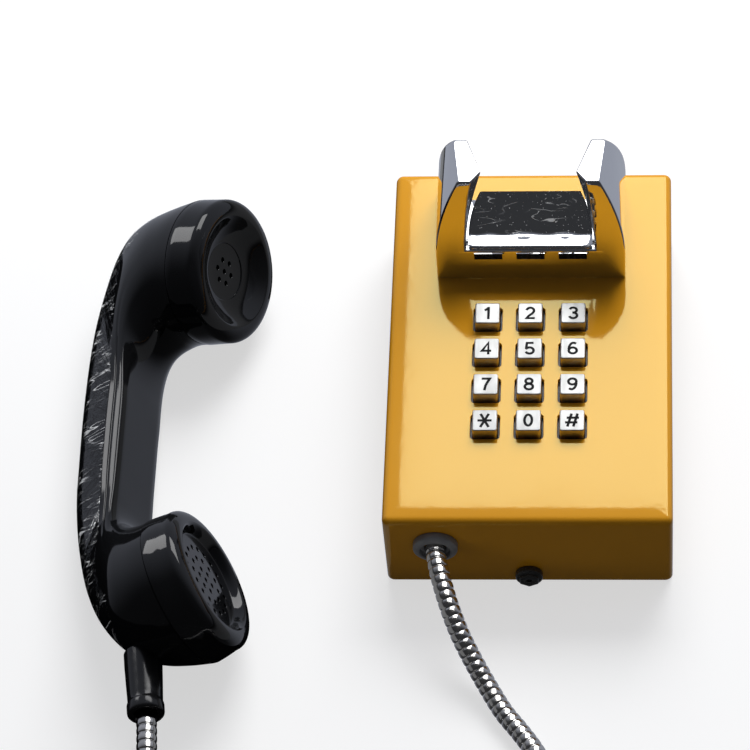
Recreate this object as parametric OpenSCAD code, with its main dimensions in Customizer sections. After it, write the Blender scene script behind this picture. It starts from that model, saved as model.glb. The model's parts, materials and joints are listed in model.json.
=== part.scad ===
// Compact vandal-resistant wall telephone with keypad, chrome cradle and armoured handset cord.
// The mounting face is z = 0, the bottom of the telephone points along -Y and the keypad faces +Z.
// The handset rests beside the body on the same surface, on its left.

/* [Housing] */
// Width of the steel housing
body_w = 120; // [110:1:140]
// Height of the steel housing, along Y
body_h = 180; // [170:1:220]
// Depth of the steel housing, from the wall to the front panel
body_d = 46; // [42:1:60]
// Thickness of the steel sheet
sheet_t = 2; // [1.5:0.1:3]
// Outer bend radius of the front edges
bend_r = 3; // [2.5:0.5:6]

/* [Keypad] */
// Distance between neighbouring keys
key_pitch = 18.2; // [17:0.1:20]
// Side of a key's square face
key_side = 10.4; // [9:0.1:11]
// Height of a key above the front panel
key_rise = 5; // [3:0.1:7]
// Travel of a key
key_travel = 1; // [0.5:0.1:1.2]
// Height of the keypad's centre on the panel
keypad_y = -15.7; // [-25:0.1:-10]

/* [Cradle] */
// Half width of the cradle where it meets the panel
cradle_half_w = 40.3; // [38:0.1:44]
// Lower edge of the cradle on the panel
cradle_y0 = 33.5; // [30:0.5:36]
// Upper edge of the cradle on the panel
cradle_y1 = 82; // [80:0.5:84]
// Height of the ear tips above the wall
ear_top_z = 103.5; // [96:0.5:108]
// Opening angle of the hook flap against the panel, at rest
flap_angle = 32; // [28:1:34]
// Length of the hook flap
flap_len = 24.4; // [20:0.2:26]

/* [Handset] */
// Radius of the round ear and mouth caps
cap_r = 31.2; // [30:0.1:32]
// Distance between the centres of the two cap rims
cap_span = 155; // [150:0.2:160]
// Inward tilt of each cap
cap_tilt = 14.5; // [10:0.5:18]
// Roll of the resting handset, which turns the caps up from the surface
handset_roll = 25; // [20:1:28]
// Width of the grip
grip_w = 34; // [30:1:38]
// Depth of the grip
grip_d = 28; // [24:1:30]

/* [Cord] */
// Outer diameter of the armoured cord
cord_d = 8.6; // [8:0.1:10]
// Radius of the stored coil, at the middle of the cord
coil_r = 47; // [43:1:52]

/* [Hidden] */
$fn = 48;
eps = 0.01;
cord_r = cord_d / 2;
panel_in_z = body_d - sheet_t;
key_top_z = body_d + key_rise;
key_flange_t = 1.5;
frame_top_z = panel_in_z - 0.6;
guide_t = 1.6;
guide_low_z = frame_top_z - guide_t;
flange_low_z = guide_low_z - key_flange_t;
mat_top_z = flange_low_z - key_travel - 0.1;
keypad_low_z = 35.6;
pcb_t = 1.6;
keypad_w = 2 * key_pitch + 24;
keypad_h = 3 * key_pitch + 24;
stud_x = keypad_w / 2 + 3.5;
stud_y = keypad_h / 2 - 5;
key_names = ["1", "2", "3", "4", "5", "6", "7", "8", "9", "star", "0", "hash"];

gland_x = -38.4;
gland_z = 29;
gland_hole_r = 7.6;
lock_z = 6.2;
plate_t = 1.5;
plate_gap = 0.4;
wall_hole_r = 2.6;
wall_dx = 80;
wall_dy = 120;
entry_y = 30;
entry_r = 8;

board_at = [6, -32];
board_w = 74;
board_h = 62;
board_z = 13;
board_holes = [for (sx = [-1, 1], sy = [-1, 1]) [board_at[0] + sx * 33, board_at[1] + sy * 27]];

cradle_z0 = body_d;
floor_t = 3.5;
floor_end_y = 73;
wall_top_z = 64.1;
wall_in_y = 37.1;
slot_low_z = 58.7;
slot_h = 4.1;
slot_w = 12;
cradle_screw_r = 2;
cradle_screws_xy = [[-33, 44], [33, 44], [-33, 74], [33, 74]];
flap_edge_y = 35.2;
flap_edge_z = 65.1;
flap_t = 2.2;
pin_r = 1.5;
pin_y = flap_edge_y + 3 * cos(flap_angle) + 5 * sin(flap_angle);
pin_z = flap_edge_z + 3 * sin(flap_angle) - 5 * cos(flap_angle);
knuckle_r = 2.8;
spring_y = 52;
magnet_x = 14;
magnet_y = 50;

handset_at = [-129.2, -34.8, 39.02];
cap_h = 14.5;
sleeve_top = [-31.8, -101];
sleeve_tip = [-27, -136.3];
sleeve_len = norm(sleeve_tip - sleeve_top);
sleeve_plug_r = 6;
sleeve_shoulder = 6;
sleeve_r = 7.9;

// Route of the cord from the gland to the coil.
lead_points = [
    [-38.4, -87.7, 29], [-38.2, -94, 29], [-36.9, -101, 28.6], [-34.8, -109, 26.6],
    [-31.7, -118, 23], [-27.6, -127, 17.8], [-22.2, -136, 11.9], [-16.2, -145.5, 7.3],
    [-9.6, -156, 4.9], [-3, -164.6, 4.4], [3.1, -173.5, 4.4], [8, -183, 4.4],
    [12, -194, 4.4], [14.8, -207, 4.4], [16.4, -221, 4.4], [17, -237, 4.4], [17, -253, 4.4]
];
coil_at = [-30, -253];
// Route of the cord from the coil to the handset.
tail_points = [
    [-30, -300, 13], [-42.5, -300, 12.6], [-55, -300, 10.9], [-67.5, -300, 8.4], [-80, -299.8, 6.2],
    [-92.5, -298.6, 4.9], [-104.5, -296, 4.5], [-116, -291.7, 4.4], [-126.5, -285.5, 4.4],
    [-135.5, -277.5, 4.4], [-142.5, -268, 4.4], [-147.5, -257, 5], [-150.4, -246, 7],
    [-151.6, -234, 10.6], [-152, -222, 15.2], [-151.9, -210, 20.2], [-151.9, -198, 24.7],
    [-152.3, -187, 27.3], [-152.9, -177.5, 27.9], [-153.67, -171.15, 27.6]
];

// ---------- shared shapes ----------

function unit(v) = v / norm(v);

function heading(path, i) = unit(path[min(i + 1, len(path) - 1)] - path[max(i - 1, 0)]);

function ring_points(centre, along, r, sides) =
    let (side = unit(cross(along, [0, 0, 1])), lift = cross(side, along))
    [for (j = [0:sides - 1]) centre + r * (cos(j * 360 / sides) * side + sin(j * 360 / sides) * lift)];

// A skin over equal rings of points, closed at both ends.
module skin(rings) {
    sides = len(rings[0]);
    last = len(rings) - 1;
    points = [for (ring = rings) each ring];
    walls = [for (i = [0:last - 1], j = [0:sides - 1])
        let (a = i * sides + j, b = i * sides + (j + 1) % sides)
        each [[a, b, b + sides], [a, b + sides, a + sides]]];
    first_cap = [for (j = [sides - 1:-1:0]) j];
    last_cap = [for (j = [0:sides - 1]) last * sides + j];
    polyhedron(points, concat(walls, [first_cap, last_cap]), convexity = 6);
}

module tube(path, r, sides) {
    skin([for (i = [0:len(path) - 1]) ring_points(path[i], heading(path, i), r, sides)]);
}

module rounded_rect(w, h, r) {
    square([w - 2 * r, h], center = true);
    square([w, h - 2 * r], center = true);
    for (sx = [-1, 1], sy = [-1, 1])
        translate([sx * (w / 2 - r), sy * (h / 2 - r)])
            circle(r);
}

module rounded_plate(w, h, t, r) {
    linear_extrude(t)
        rounded_rect(w, h, r);
}

// A block from z = 0 to d whose upright edges and upper edges have the radius r.
module bent_block(w, h, d, r) {
    rounded_plate(w, h, d - r, r);
    translate([-(w / 2 - r), -(h / 2 - r), 0])
        cube([w - 2 * r, h - 2 * r, d]);
    for (side = [-1, 1]) {
        translate([side * (w / 2 - r), 0, d - r])
            rotate([90, 0, 0])
                cylinder(h = h - 2 * r, r = r, center = true);
        translate([0, side * (h / 2 - r), d - r])
            rotate([0, 90, 0])
                cylinder(h = w - 2 * r, r = r, center = true);
    }
    for (sx = [-1, 1], sy = [-1, 1])
        translate([sx * (w / 2 - r), sy * (h / 2 - r), d - r])
            sphere(r);
}

module screw(head_r, head_h, shank_r, shank_h) {
    translate([0, 0, -head_h])
        cylinder(h = head_h, r = head_r);
    translate([0, 0, -eps])
        cylinder(h = shank_h + eps, r = shank_r);
}

function key_xy(i) = [(i % 3 - 1) * key_pitch, keypad_y + (1.5 - floor(i / 3)) * key_pitch];

module at_keys() {
    for (i = [0:11])
        translate([key_xy(i)[0], key_xy(i)[1], 0])
            children();
}

// ---------- housing ----------

module housing() {
    color([0.86, 0.58, 0.12])
        difference() {
            bent_block(body_w, body_h, body_d, bend_r);
            translate([-body_w / 2 + sheet_t, -body_h / 2 + sheet_t, -1])
                cube([body_w - 2 * sheet_t, body_h - 2 * sheet_t, panel_in_z + 1]);
            at_keys()
                translate([0, 0, panel_in_z - 1])
                    rounded_plate(key_side + 2, key_side + 2, sheet_t + 2, 1.5);
            for (xy = cradle_screws_xy)
                translate([xy[0], xy[1], panel_in_z - 1])
                    cylinder(h = sheet_t + 2, r = cradle_screw_r + 0.2);
            translate([gland_x, -body_h / 2 - 1, gland_z])
                rotate([-90, 0, 0])
                    cylinder(h = sheet_t + 2, r = gland_hole_r);
            translate([0, -body_h / 2 - 1, lock_z])
                rotate([-90, 0, 0])
                    cylinder(h = sheet_t + 2, r = 3.2);
        }
}

module back_plate() {
    plate_w = body_w - 2 * sheet_t - 2 * plate_gap;
    plate_h = body_h - 2 * sheet_t - 2 * plate_gap;
    tab_w = 24;
    color([0.72, 0.73, 0.75])
        difference() {
            union() {
                rounded_plate(plate_w, plate_h, plate_t, 2);
                translate([-tab_w / 2, -plate_h / 2, 0])
                    cube([tab_w, plate_t, 13]);
                for (sx = [-1, 1])
                    translate([sx * 30 - 6, plate_h / 2 - 4 - plate_t, 0])
                        cube([12, plate_t, 12]);
            }
            for (sx = [-1, 1], sy = [-1, 1])
                translate([sx * wall_dx / 2, sy * wall_dy / 2, -1])
                    cylinder(h = plate_t + 2, r = wall_hole_r);
            translate([0, entry_y, -1])
                cylinder(h = plate_t + 2, r = entry_r);
            translate([0, -plate_h / 2 - 1, lock_z])
                rotate([-90, 0, 0])
                    cylinder(h = plate_t + 2, r = 3.2);
            translate([-42, -20, -1])
                cylinder(h = plate_t + 2, r = 2.05);
        }
}

module weld_studs() {
    color([0.75, 0.72, 0.65])
        for (sx = [-1, 1], sy = [-1, 1])
            translate([sx * stud_x, keypad_y + sy * stud_y, panel_in_z - 9])
                cylinder(h = 9, r = 1.5);
}

// Angle under the top wall, with slots that hold the back plate's tongues.
module top_bracket() {
    low_y = body_h / 2 - sheet_t - 12;
    color([0.72, 0.73, 0.75])
        difference() {
            union() {
                translate([-45, low_y, 8])
                    cube([90, 12, 1.5]);
                translate([-45, low_y + 10.5, 8])
                    cube([90, 1.5, 10]);
            }
            for (sx = [-1, 1])
                translate([sx * 30 - 7, low_y + 4.6, 7])
                    cube([14, 4.5, 3.5]);
        }
}

// ---------- cradle and hook switch ----------

function ease(z, from, k) = k * pow(max(0, z - from), 2);
function low_y(z) = cradle_y0 + 0.03 * (z - cradle_z0) + 0.00188 * pow(z - cradle_z0, 2);
function top_y(z) = cradle_y1 - 0.00547 * pow(z - cradle_z0, 2);

// Section of one ear at the height z: it leans inward and narrows to a flat tip.
function ear_section(z, side) = [
    [side * (cradle_half_w - ease(z, 61.6, 0.006)), low_y(z), z],
    [side * (cradle_half_w - ease(z, 60, 0.00412)), top_y(z), z],
    [side * (28.5 - ease(z, 64, 0.00154)), top_y(z), z],
    [side * (27.2 - ease(z, 64.3, 0.0048)), low_y(z), z]
];

module ear(side) {
    levels = [for (i = [0:12]) cradle_z0 + i * (ear_top_z - cradle_z0) / 12];
    sections = [for (z = levels) ear_section(z, side)];
    turned = [for (section = sections) [for (j = [3:-1:0]) section[j]]];
    skin(side > 0 ? turned : sections);
}

module cradle() {
    wall_levels = [for (i = [0:6]) cradle_z0 + i * (wall_top_z - cradle_z0) / 6];
    wall = concat([for (z = wall_levels) [low_y(z), z]], [[wall_in_y, wall_top_z], [wall_in_y, cradle_z0]]);
    color([0.85, 0.86, 0.88])
        difference() {
            union() {
                for (side = [-1, 1])
                    ear(side);
                translate([-29, wall_in_y - 1, cradle_z0])
                    cube([58, floor_end_y - wall_in_y + 1, floor_t]);
                translate([-28, 0, 0])
                    rotate([90, 0, 90])
                        linear_extrude(56)
                            polygon(wall);
            }
            for (x = [-18, 0, 18])
                translate([x - slot_w / 2, cradle_y0 - 1, slot_low_z])
                    cube([slot_w, 8, slot_h]);
            for (xy = cradle_screws_xy)
                translate([xy[0], xy[1], cradle_z0 - 1])
                    cylinder(h = 11, r = cradle_screw_r + 0.02);
            translate([0, pin_y, pin_z])
                rotate([0, 90, 0])
                    cylinder(h = 66, r = pin_r + 0.02, center = true);
        }
}

module cradle_screws() {
    color([0.6, 0.6, 0.62])
        for (xy = cradle_screws_xy)
            translate([xy[0], xy[1], panel_in_z])
                screw(3.8, 2.4, cradle_screw_r, 11);
}

module hook_pin() {
    color([0.7, 0.7, 0.72])
        translate([0, pin_y, pin_z])
            rotate([0, 90, 0])
                cylinder(h = 64, r = pin_r, center = true);
}

// Half width of the flap at the distance t from its lower edge.
function flap_half(t) = 26.4 - ease(t, 7, 0.0165) - ease(2.4 - min(t, 2.4), 0, 0.28);

module hook_flap() {
    steps = concat([0, 0.8, 1.6], [for (i = [1:8]) i * flap_len / 8]);
    right = [for (t = steps) [flap_half(t), t]];
    left = [for (i = [len(steps) - 1:-1:0]) [-flap_half(steps[i]), steps[i]]];
    color([0.82, 0.83, 0.85])
        difference() {
            union() {
                translate([0, flap_edge_y, flap_edge_z])
                    rotate([flap_angle, 0, 0])
                        translate([0, 0, -flap_t])
                            linear_extrude(flap_t)
                                polygon(concat(right, left));
                translate([0, pin_y, pin_z])
                    rotate([0, 90, 0])
                        cylinder(h = 48, r = knuckle_r, center = true);
                translate([-20, pin_y - 1.2, pin_z + 1])
                    rotate([flap_angle, 0, 0])
                        cube([40, 2.4, 3.6]);
                translate([magnet_x, magnet_y, 57])
                    cylinder(h = 14.5, r = 4.2);
                translate([0, spring_y, 68])
                    cylinder(h = 5.5, r = 2);
            }
            translate([0, pin_y, pin_z])
                rotate([0, 90, 0])
                    cylinder(h = 60, r = pin_r + 0.06, center = true);
            translate([magnet_x, magnet_y, 56])
                cylinder(h = 5, r = 3.02);
            translate([-30, wall_in_y + 0.3 - 8, wall_top_z + 0.2 - 8])
                cube([60, 8, 8]);
        }
}

module hook_magnet() {
    color([0.55, 0.55, 0.58])
        translate([magnet_x, magnet_y, 57])
            cylinder(h = 4, r = 3);
}

module hook_spring() {
    low_z = cradle_z0 + floor_t;
    high_z = 70.6;
    wire_r = 0.35;
    turns = 5;
    steps = 60;
    coil = [for (i = [0:steps]) [3 * cos(i * 360 * turns / steps), spring_y + 3 * sin(i * 360 * turns / steps),
        low_z + wire_r + i * (high_z - low_z - 2 * wire_r) / steps]];
    color([0.6, 0.6, 0.62])
        tube(coil, wire_r, 8);
}

module reed_holder() {
    color([0.9, 0.9, 0.86])
        difference() {
            translate([magnet_x - 9, magnet_y - 4, 38])
                cube([18, 8, panel_in_z - 38]);
            translate([magnet_x - 10, magnet_y, 41])
                rotate([0, 90, 0])
                    cylinder(h = 20, r = 1.32);
        }
}

module reed_switch() {
    color([0.5, 0.7, 0.6])
        translate([magnet_x - 8, magnet_y, 41])
            rotate([0, 90, 0])
                cylinder(h = 16, r = 1.3);
}

// ---------- keypad ----------

module key(i) {
    chamfer = 0.6;
    translate([key_xy(i)[0], key_xy(i)[1], 0])
        color([0.9, 0.9, 0.9]) {
            translate([0, 0, flange_low_z])
                rounded_plate(key_side + 2.4, key_side + 2.4, key_flange_t, 1);
            translate([0, 0, flange_low_z])
                rounded_plate(key_side, key_side, key_top_z - flange_low_z - chamfer, 0.8);
            translate([0, 0, flange_low_z])
                rounded_plate(key_side - 2 * chamfer, key_side - 2 * chamfer, key_top_z - flange_low_z, 0.5);
        }
}

module keypad_gasket() {
    color([0.15, 0.15, 0.15])
        translate([0, keypad_y, frame_top_z])
            difference() {
                rounded_plate(keypad_w, keypad_h, panel_in_z - frame_top_z, 2);
                translate([0, 0, -1])
                    rounded_plate(keypad_w - 8, keypad_h - 8, 3, 2);
            }
}

module keypad_frame() {
    color([0.7, 0.71, 0.72])
        difference() {
            union() {
                translate([0, keypad_y, keypad_low_z])
                    rounded_plate(keypad_w, keypad_h, frame_top_z - keypad_low_z, 2);
                for (sy = [-1, 1])
                    translate([0, keypad_y + sy * stud_y, guide_low_z])
                        rounded_plate(keypad_w + 14, 9, guide_t, 2);
            }
            translate([0, keypad_y, keypad_low_z - 1])
                rounded_plate(keypad_w - 5, keypad_h - 5, guide_low_z - keypad_low_z + 1, 2);
            at_keys()
                translate([0, 0, guide_low_z - 1])
                    rounded_plate(key_side + 0.5, key_side + 0.5, guide_t + 2, 0.9);
            for (sx = [-1, 1], sy = [-1, 1])
                translate([sx * stud_x, keypad_y + sy * stud_y, guide_low_z - 1])
                    cylinder(h = guide_t + 2, r = 1.7);
        }
}

module keypad_mat() {
    base_z = keypad_low_z + pcb_t;
    color([0.75, 0.75, 0.7]) {
        translate([0, keypad_y, base_z])
            rounded_plate(keypad_w - 6, keypad_h - 6, 1, 2);
        at_keys()
            translate([0, 0, base_z])
                cylinder(h = mat_top_z - base_z, r = 3);
    }
}

module keypad_pcb() {
    color([0.1, 0.4, 0.2])
        translate([0, keypad_y, keypad_low_z])
            rounded_plate(keypad_w - 6, keypad_h - 6, pcb_t, 2);
}

module keypad_nuts() {
    color([0.7, 0.7, 0.72])
        for (sx = [-1, 1], sy = [-1, 1])
            translate([sx * stud_x, keypad_y + sy * stud_y, guide_low_z - 2.4])
                difference() {
                    cylinder(h = 2.4, r = 3.1, $fn = 6);
                    translate([0, 0, -1])
                        cylinder(h = 5, r = 1.52);
                }
}

module keypad_ribbon() {
    color([0.8, 0.8, 0.85])
        translate([-10, keypad_y + 12, 0]) {
            translate([0, 0, 15.5])
                cube([20, 0.8, keypad_low_z - 15.5]);
        }
}

// ---------- electronics ----------

module main_board() {
    color([0.1, 0.4, 0.2])
        difference() {
            translate([board_at[0], board_at[1], board_z])
                rounded_plate(board_w, board_h, pcb_t, 2);
            for (xy = board_holes)
                translate([xy[0], xy[1], board_z - 1])
                    cylinder(h = pcb_t + 2, r = 1.6);
        }
}

module board_standoffs() {
    color([0.8, 0.75, 0.5])
        for (xy = board_holes)
            translate([xy[0], xy[1], plate_t])
                difference() {
                    cylinder(h = board_z - plate_t, r = 3);
                    translate([0, 0, board_z - plate_t - 6])
                        cylinder(h = 7, r = 1.52);
                }
}

module board_screws() {
    color([0.7, 0.7, 0.72])
        for (xy = board_holes)
            translate([xy[0], xy[1], board_z + pcb_t])
                rotate([180, 0, 0])
                    screw(2.7, 2, 1.5, 7);
}

module line_terminal() {
    color([0.1, 0.45, 0.25])
        translate([board_at[0] + 18, board_at[1] + 12, board_z + pcb_t])
            difference() {
                cube([11, 15, 10], center = false);
                for (k = [0, 1, 2])
                    translate([7, 2.6 + k * 5, 4])
                        cylinder(h = 8, r = 1.6);
            }
}

module line_transformer() {
    color([0.2, 0.2, 0.22])
        translate([board_at[0] - 28, board_at[1] - 18, board_z + pcb_t]) {
            cube([20, 18, 3]);
            translate([2, 1, 3])
                cube([16, 16, 10]);
        }
}

module ringer() {
    color([0.12, 0.12, 0.12])
        translate([board_at[0] + 14, board_at[1] - 12, board_z + pcb_t])
            difference() {
                cylinder(h = 9, r = 11);
                translate([0, 0, 7])
                    cylinder(h = 3, r = 2);
            }
}

module line_grommet() {
    color([0.08, 0.08, 0.08])
        translate([0, entry_y, 0])
            rotate_extrude()
                polygon([[5, 0], [entry_r - 0.05, 0], [entry_r - 0.05, plate_t],
                    [entry_r + 2, plate_t], [entry_r + 2, plate_t + 1.5], [5, plate_t + 1.5]]);
}

module earth_stud() {
    color([0.8, 0.7, 0.4])
        translate([-42, -20, 0]) {
            cylinder(h = 14, r = 2);
            translate([0, 0, plate_t])
                cylinder(h = 3.2, r = 4, $fn = 6);
        }
}

// ---------- gland, anchor and lock ----------

module gland_profile(points) {
    translate([gland_x, -body_h / 2, gland_z])
        rotate([90, 0, 0])
            rotate_extrude()
                polygon(points);
}

module cord_gland() {
    bore = cord_r + 0.35;
    color([0.06, 0.06, 0.07])
        gland_profile([[bore, -12], [gland_hole_r - 0.1, -12], [gland_hole_r - 0.1, 0], [9.3, 0],
            [9.3, 2.2], [8.3, 3.6], [7, 4], [6.2, 4], [bore, 2.2]]);
}

module gland_nut() {
    color([0.5, 0.5, 0.52])
        translate([gland_x, -body_h / 2 + sheet_t, gland_z])
            rotate([-90, 0, 0])
                difference() {
                    cylinder(h = 4, r = 11, $fn = 6);
                    translate([0, 0, -1])
                        cylinder(h = 6, r = gland_hole_r - 0.08);
                }
}

// Bracket on the back plate that takes the cord's steel lanyard.
module cord_anchor() {
    color([0.72, 0.73, 0.75])
        translate([gland_x - 8, -66, plate_t])
            difference() {
                union() {
                    cube([16, 12, 2]);
                    cube([16, 2, 22]);
                }
                translate([8, -1, 16])
                    rotate([-90, 0, 0])
                        cylinder(h = 4, r = 2.05);
            }
}

module anchor_screw() {
    color([0.7, 0.7, 0.72])
        translate([gland_x, -66, plate_t + 16])
            rotate([-90, 0, 0])
                screw(3.8, 2.4, 2, 8);
}

module lock_screw() {
    color([0.07, 0.07, 0.08])
        translate([0, -body_h / 2, lock_z])
            rotate([-90, 0, 0])
                difference() {
                    union() {
                        translate([0, 0, -2])
                            cylinder(h = 2, r = 5.7);
                        translate([0, 0, -4.4])
                            cylinder(h = 3, r = 4.2, $fn = 6);
                        cylinder(h = 12, r = 2.5);
                    }
                    translate([0, 0, -5])
                        cylinder(h = 2.2, r = 1.1);
                }
}

module lock_nut() {
    inner_y = -body_h / 2 + sheet_t + plate_gap + plate_t;
    color([0.7, 0.7, 0.72])
        translate([0, inner_y, lock_z])
            rotate([-90, 0, 0])
                difference() {
                    cylinder(h = 5, r = 4.6, $fn = 6);
                    translate([0, 0, -1])
                        cylinder(h = 8, r = 2.52);
                }
}

// ---------- handset, in its own axes: X toward the caps' side, Y toward the ear, Z across ----------

module on_handset() {
    translate(handset_at)
        rotate([0, -handset_roll, 0])
            children();
}

// Places a shape made along +Z onto a cap's axis: end 1 is the ear, end -1 the mouth.
module on_cap(end) {
    translate([0, end * cap_span / 2, 0])
        rotate([0, 0, -end * cap_tilt])
            rotate([0, 90, 0])
                children();
}

function arc(cx, cy, r, from, to, n) =
    [for (i = [0:n]) let (a = from + i * (to - from) / n) [cx + r * cos(a), cy + r * sin(a)]];

module cap_body(height, floor_r, floor_depth) {
    wall = 2.4;
    rotate_extrude()
        polygon(concat(
            [[cap_r - wall, -height], [cap_r, -height]],
            arc(cap_r - 6, -6, 6, 0, 90, 8),
            [[23.5, -0.7], [floor_r, -floor_depth], [0, -floor_depth], [0, -floor_depth - wall],
                [floor_r + 1, -floor_depth - wall], [cap_r - wall - 2, -floor_depth - wall - 1.5],
                [cap_r - wall, -floor_depth - wall - 4]]));
}

module ring_of_holes(count, ring_r, hole_r) {
    for (i = [0:count - 1])
        rotate([0, 0, i * 360 / count])
            translate([ring_r, 0, -20])
                cylinder(h = 30, r = hole_r, $fn = 16);
}

module ear_cap() {
    color([0.05, 0.05, 0.06])
        on_handset()
            on_cap(1)
                difference() {
                    cap_body(cap_h, 12, 5.7);
                    ring_of_holes(1, 0, 1.2);
                    ring_of_holes(6, 5.2, 1.2);
                }
}

module mouth_cap() {
    color([0.05, 0.05, 0.06])
        on_handset()
            on_cap(-1)
                difference() {
                    cap_body(cap_h, 21, 3);
                    ring_of_holes(6, 5, 1.2);
                    ring_of_holes(12, 10, 1.2);
                    ring_of_holes(18, 15, 1.2);
                }
}

// Distance of the grip's arched back from the plane of the cap rims.
function back_m(s) = -67 + pow(s - 6, 2) / 560;

// A slab of the grip's section: narrow at the back, flat at the sides, bevelled inside.
module grip_at(s) {
    half = grip_w / 2;
    edge = [[0, 0.47], [0.2, 0.85], [0.48, 1], [0.82, 1], [1, 0.6]];
    right = [for (p = edge) [p[0] * grip_d, p[1] * half]];
    left = [for (i = [len(edge) - 1:-1:0]) [right[i][0], -right[i][1]]];
    translate([back_m(s), s + 0.5, 0])
        rotate([90, 0, 0])
            linear_extrude(1)
                polygon(concat(left, right));
}

// A thin disc of a cup at the depth h behind the cap's rim.
module cup_disc(end, h, r) {
    on_cap(end)
        translate([0, 0, -h])
            cylinder(h = 1, r = r, $fn = 32);
}

module grip_channel(m, s, angle, length) {
    translate([m, s, 0])
        rotate([90, 0, angle])
            cylinder(h = length, r = 6, center = true);
}

module handset_handle() {
    seam_gap = 0.3;
    color([0.05, 0.05, 0.06])
        on_handset()
            difference() {
                union() {
                    for (pair = [[-44, -15], [-15, 15], [15, 44]])
                        hull() {
                            grip_at(pair[0]);
                            grip_at(pair[1]);
                        }
                    hull() {
                        cup_disc(1, cap_h + seam_gap + 1, cap_r - 0.3);
                        cup_disc(1, 25, 30);
                        cup_disc(1, 37, 26);
                        cup_disc(1, 48, 16);
                        grip_at(44);
                    }
                    hull() {
                        cup_disc(-1, cap_h + seam_gap + 1, cap_r - 0.3);
                        cup_disc(-1, 24, 30);
                        cup_disc(-1, 34, 26);
                        cup_disc(-1, 43, 16);
                        grip_at(-44);
                    }
                    on_cap(1)
                        translate([0, 0, -30])
                            cylinder(h = 17, r = cap_r - 2.7);
                    on_cap(-1)
                        translate([0, 0, -30])
                            cylinder(h = 17, r = cap_r - 2.7);
                }
                on_cap(1)
                    translate([0, 0, -32])
                        cylinder(h = 30, r = 24);
                on_cap(-1)
                    translate([0, 0, -31])
                        cylinder(h = 30, r = 24);
                grip_channel(-55, 0, 0, 84);
                grip_channel(-46, 56, -24, 46);
                grip_channel(-45, -56, 24, 46);
                on_handset_sleeve() {
                    translate([0, 0, -20])
                        cylinder(h = 27, r = sleeve_plug_r + 0.05);
                    translate([0, 0, sleeve_shoulder])
                        cylinder(h = 20, r = sleeve_r + 0.1);
                }
            }
}

module receiver_capsule() {
    color([0.6, 0.6, 0.62])
        on_handset()
            on_cap(1)
                translate([0, 0, -21]) {
                    cylinder(h = 9, r = 22);
                    translate([0, 0, -4])
                        cylinder(h = 5, r = 12);
                }
}

module receiver_pad() {
    color([0.1, 0.1, 0.1])
        on_handset()
            on_cap(1)
                translate([0, 0, -12])
                    difference() {
                        cylinder(h = 2, r = 21);
                        translate([0, 0, -1])
                            cylinder(h = 4, r = 15);
                    }
}

module microphone_capsule() {
    color([0.7, 0.7, 0.72])
        on_handset()
            on_cap(-1)
                translate([0, 0, -16]) {
                    cylinder(h = 7, r = 21);
                    translate([0, 0, -4])
                        cylinder(h = 5, r = 9);
                }
}

module microphone_pad() {
    color([0.1, 0.1, 0.1])
        on_handset()
            on_cap(-1)
                translate([0, 0, -9])
                    difference() {
                        cylinder(h = 2, r = 21);
                        translate([0, 0, -1])
                            cylinder(h = 4, r = 19);
                    }
}

// Axis of the cord sleeve, from the mouth end outward along +Z.
module on_handset_sleeve() {
    reach = sleeve_tip - sleeve_top;
    translate([sleeve_top[0], sleeve_top[1], 0])
        rotate([0, 0, atan2(reach[1], reach[0])])
            rotate([0, 90, 0])
                children();
}

module cord_sleeve() {
    bore = cord_r + 0.35;
    color([0.04, 0.04, 0.04])
        on_handset()
            on_handset_sleeve()
                rotate_extrude()
                    polygon(concat(
                        [[bore, sleeve_len - 1], [bore, -12], [sleeve_plug_r, -12],
                            [sleeve_plug_r, sleeve_shoulder], [sleeve_r, sleeve_shoulder],
                            [7.2, sleeve_len - 6], [7.7, sleeve_len - 4]],
                        arc(6.7, sleeve_len - 1, 1, 0, 90, 4),
                        [[bore + 1, sleeve_len]]));
}

module sleeve_clip() {
    color([0.7, 0.7, 0.72])
        on_handset()
            on_handset_sleeve()
                translate([0, 0, -15])
                    difference() {
                        cylinder(h = 2.4, r = 6);
                        translate([0, 0, -1])
                            cylinder(h = 5, r = 3);
                    }
}

module handset_loom() {
    loom = [[-37, 76, 0], [-43, 66, 0], [-49, 54, 0], [-53.5, 40, 0], [-55, 24, 0], [-55, 8, 0],
        [-55, -8, 0], [-55, -24, 0], [-53.5, -38, 0], [-49, -50, 0], [-43, -62, 0], [-36, -74, 0]];
    color([0.5, 0.1, 0.1])
        on_handset()
            tube(loom, 1.4, 8);
}

// ---------- cord ----------

module cord_lead() {
    color([0.7, 0.71, 0.73])
        tube(lead_points, cord_r, 10);
}

module cord_coil() {
    color([0.7, 0.71, 0.73])
        translate([coil_at[0], coil_at[1], 0])
            rotate_extrude()
                translate([coil_r, 0.05 + 2 * cord_r])
                    rounded_rect(cord_d, 2 * cord_d, cord_r - 0.1);
}

module cord_tail() {
    color([0.7, 0.71, 0.73])
        tube(tail_points, cord_r, 10);
}

// ---------- nodes ----------

housing();
back_plate();
weld_studs();
top_bracket();
cradle();
cradle_screws();
hook_pin();
hook_spring();
reed_holder();
reed_switch();
keypad_gasket();
keypad_frame();
keypad_mat();
keypad_pcb();
keypad_nuts();
main_board();
board_standoffs();
board_screws();
line_terminal();
line_transformer();
ringer();
keypad_ribbon();
cord_gland();
gland_nut();
cord_anchor();
anchor_screw();
lock_screw();
lock_nut();
line_grommet();
earth_stud();
cord_lead();
cord_coil();
cord_tail();
hook_flap();
hook_magnet();
for (i = [0:11])
    key(i);
handset_handle();
ear_cap();
mouth_cap();
receiver_capsule();
receiver_pad();
microphone_capsule();
microphone_pad();
cord_sleeve();
sleeve_clip();
handset_loom();
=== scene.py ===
import json
import math

import bmesh
import bpy
import numpy as np
from mathutils import Matrix, Vector

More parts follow.
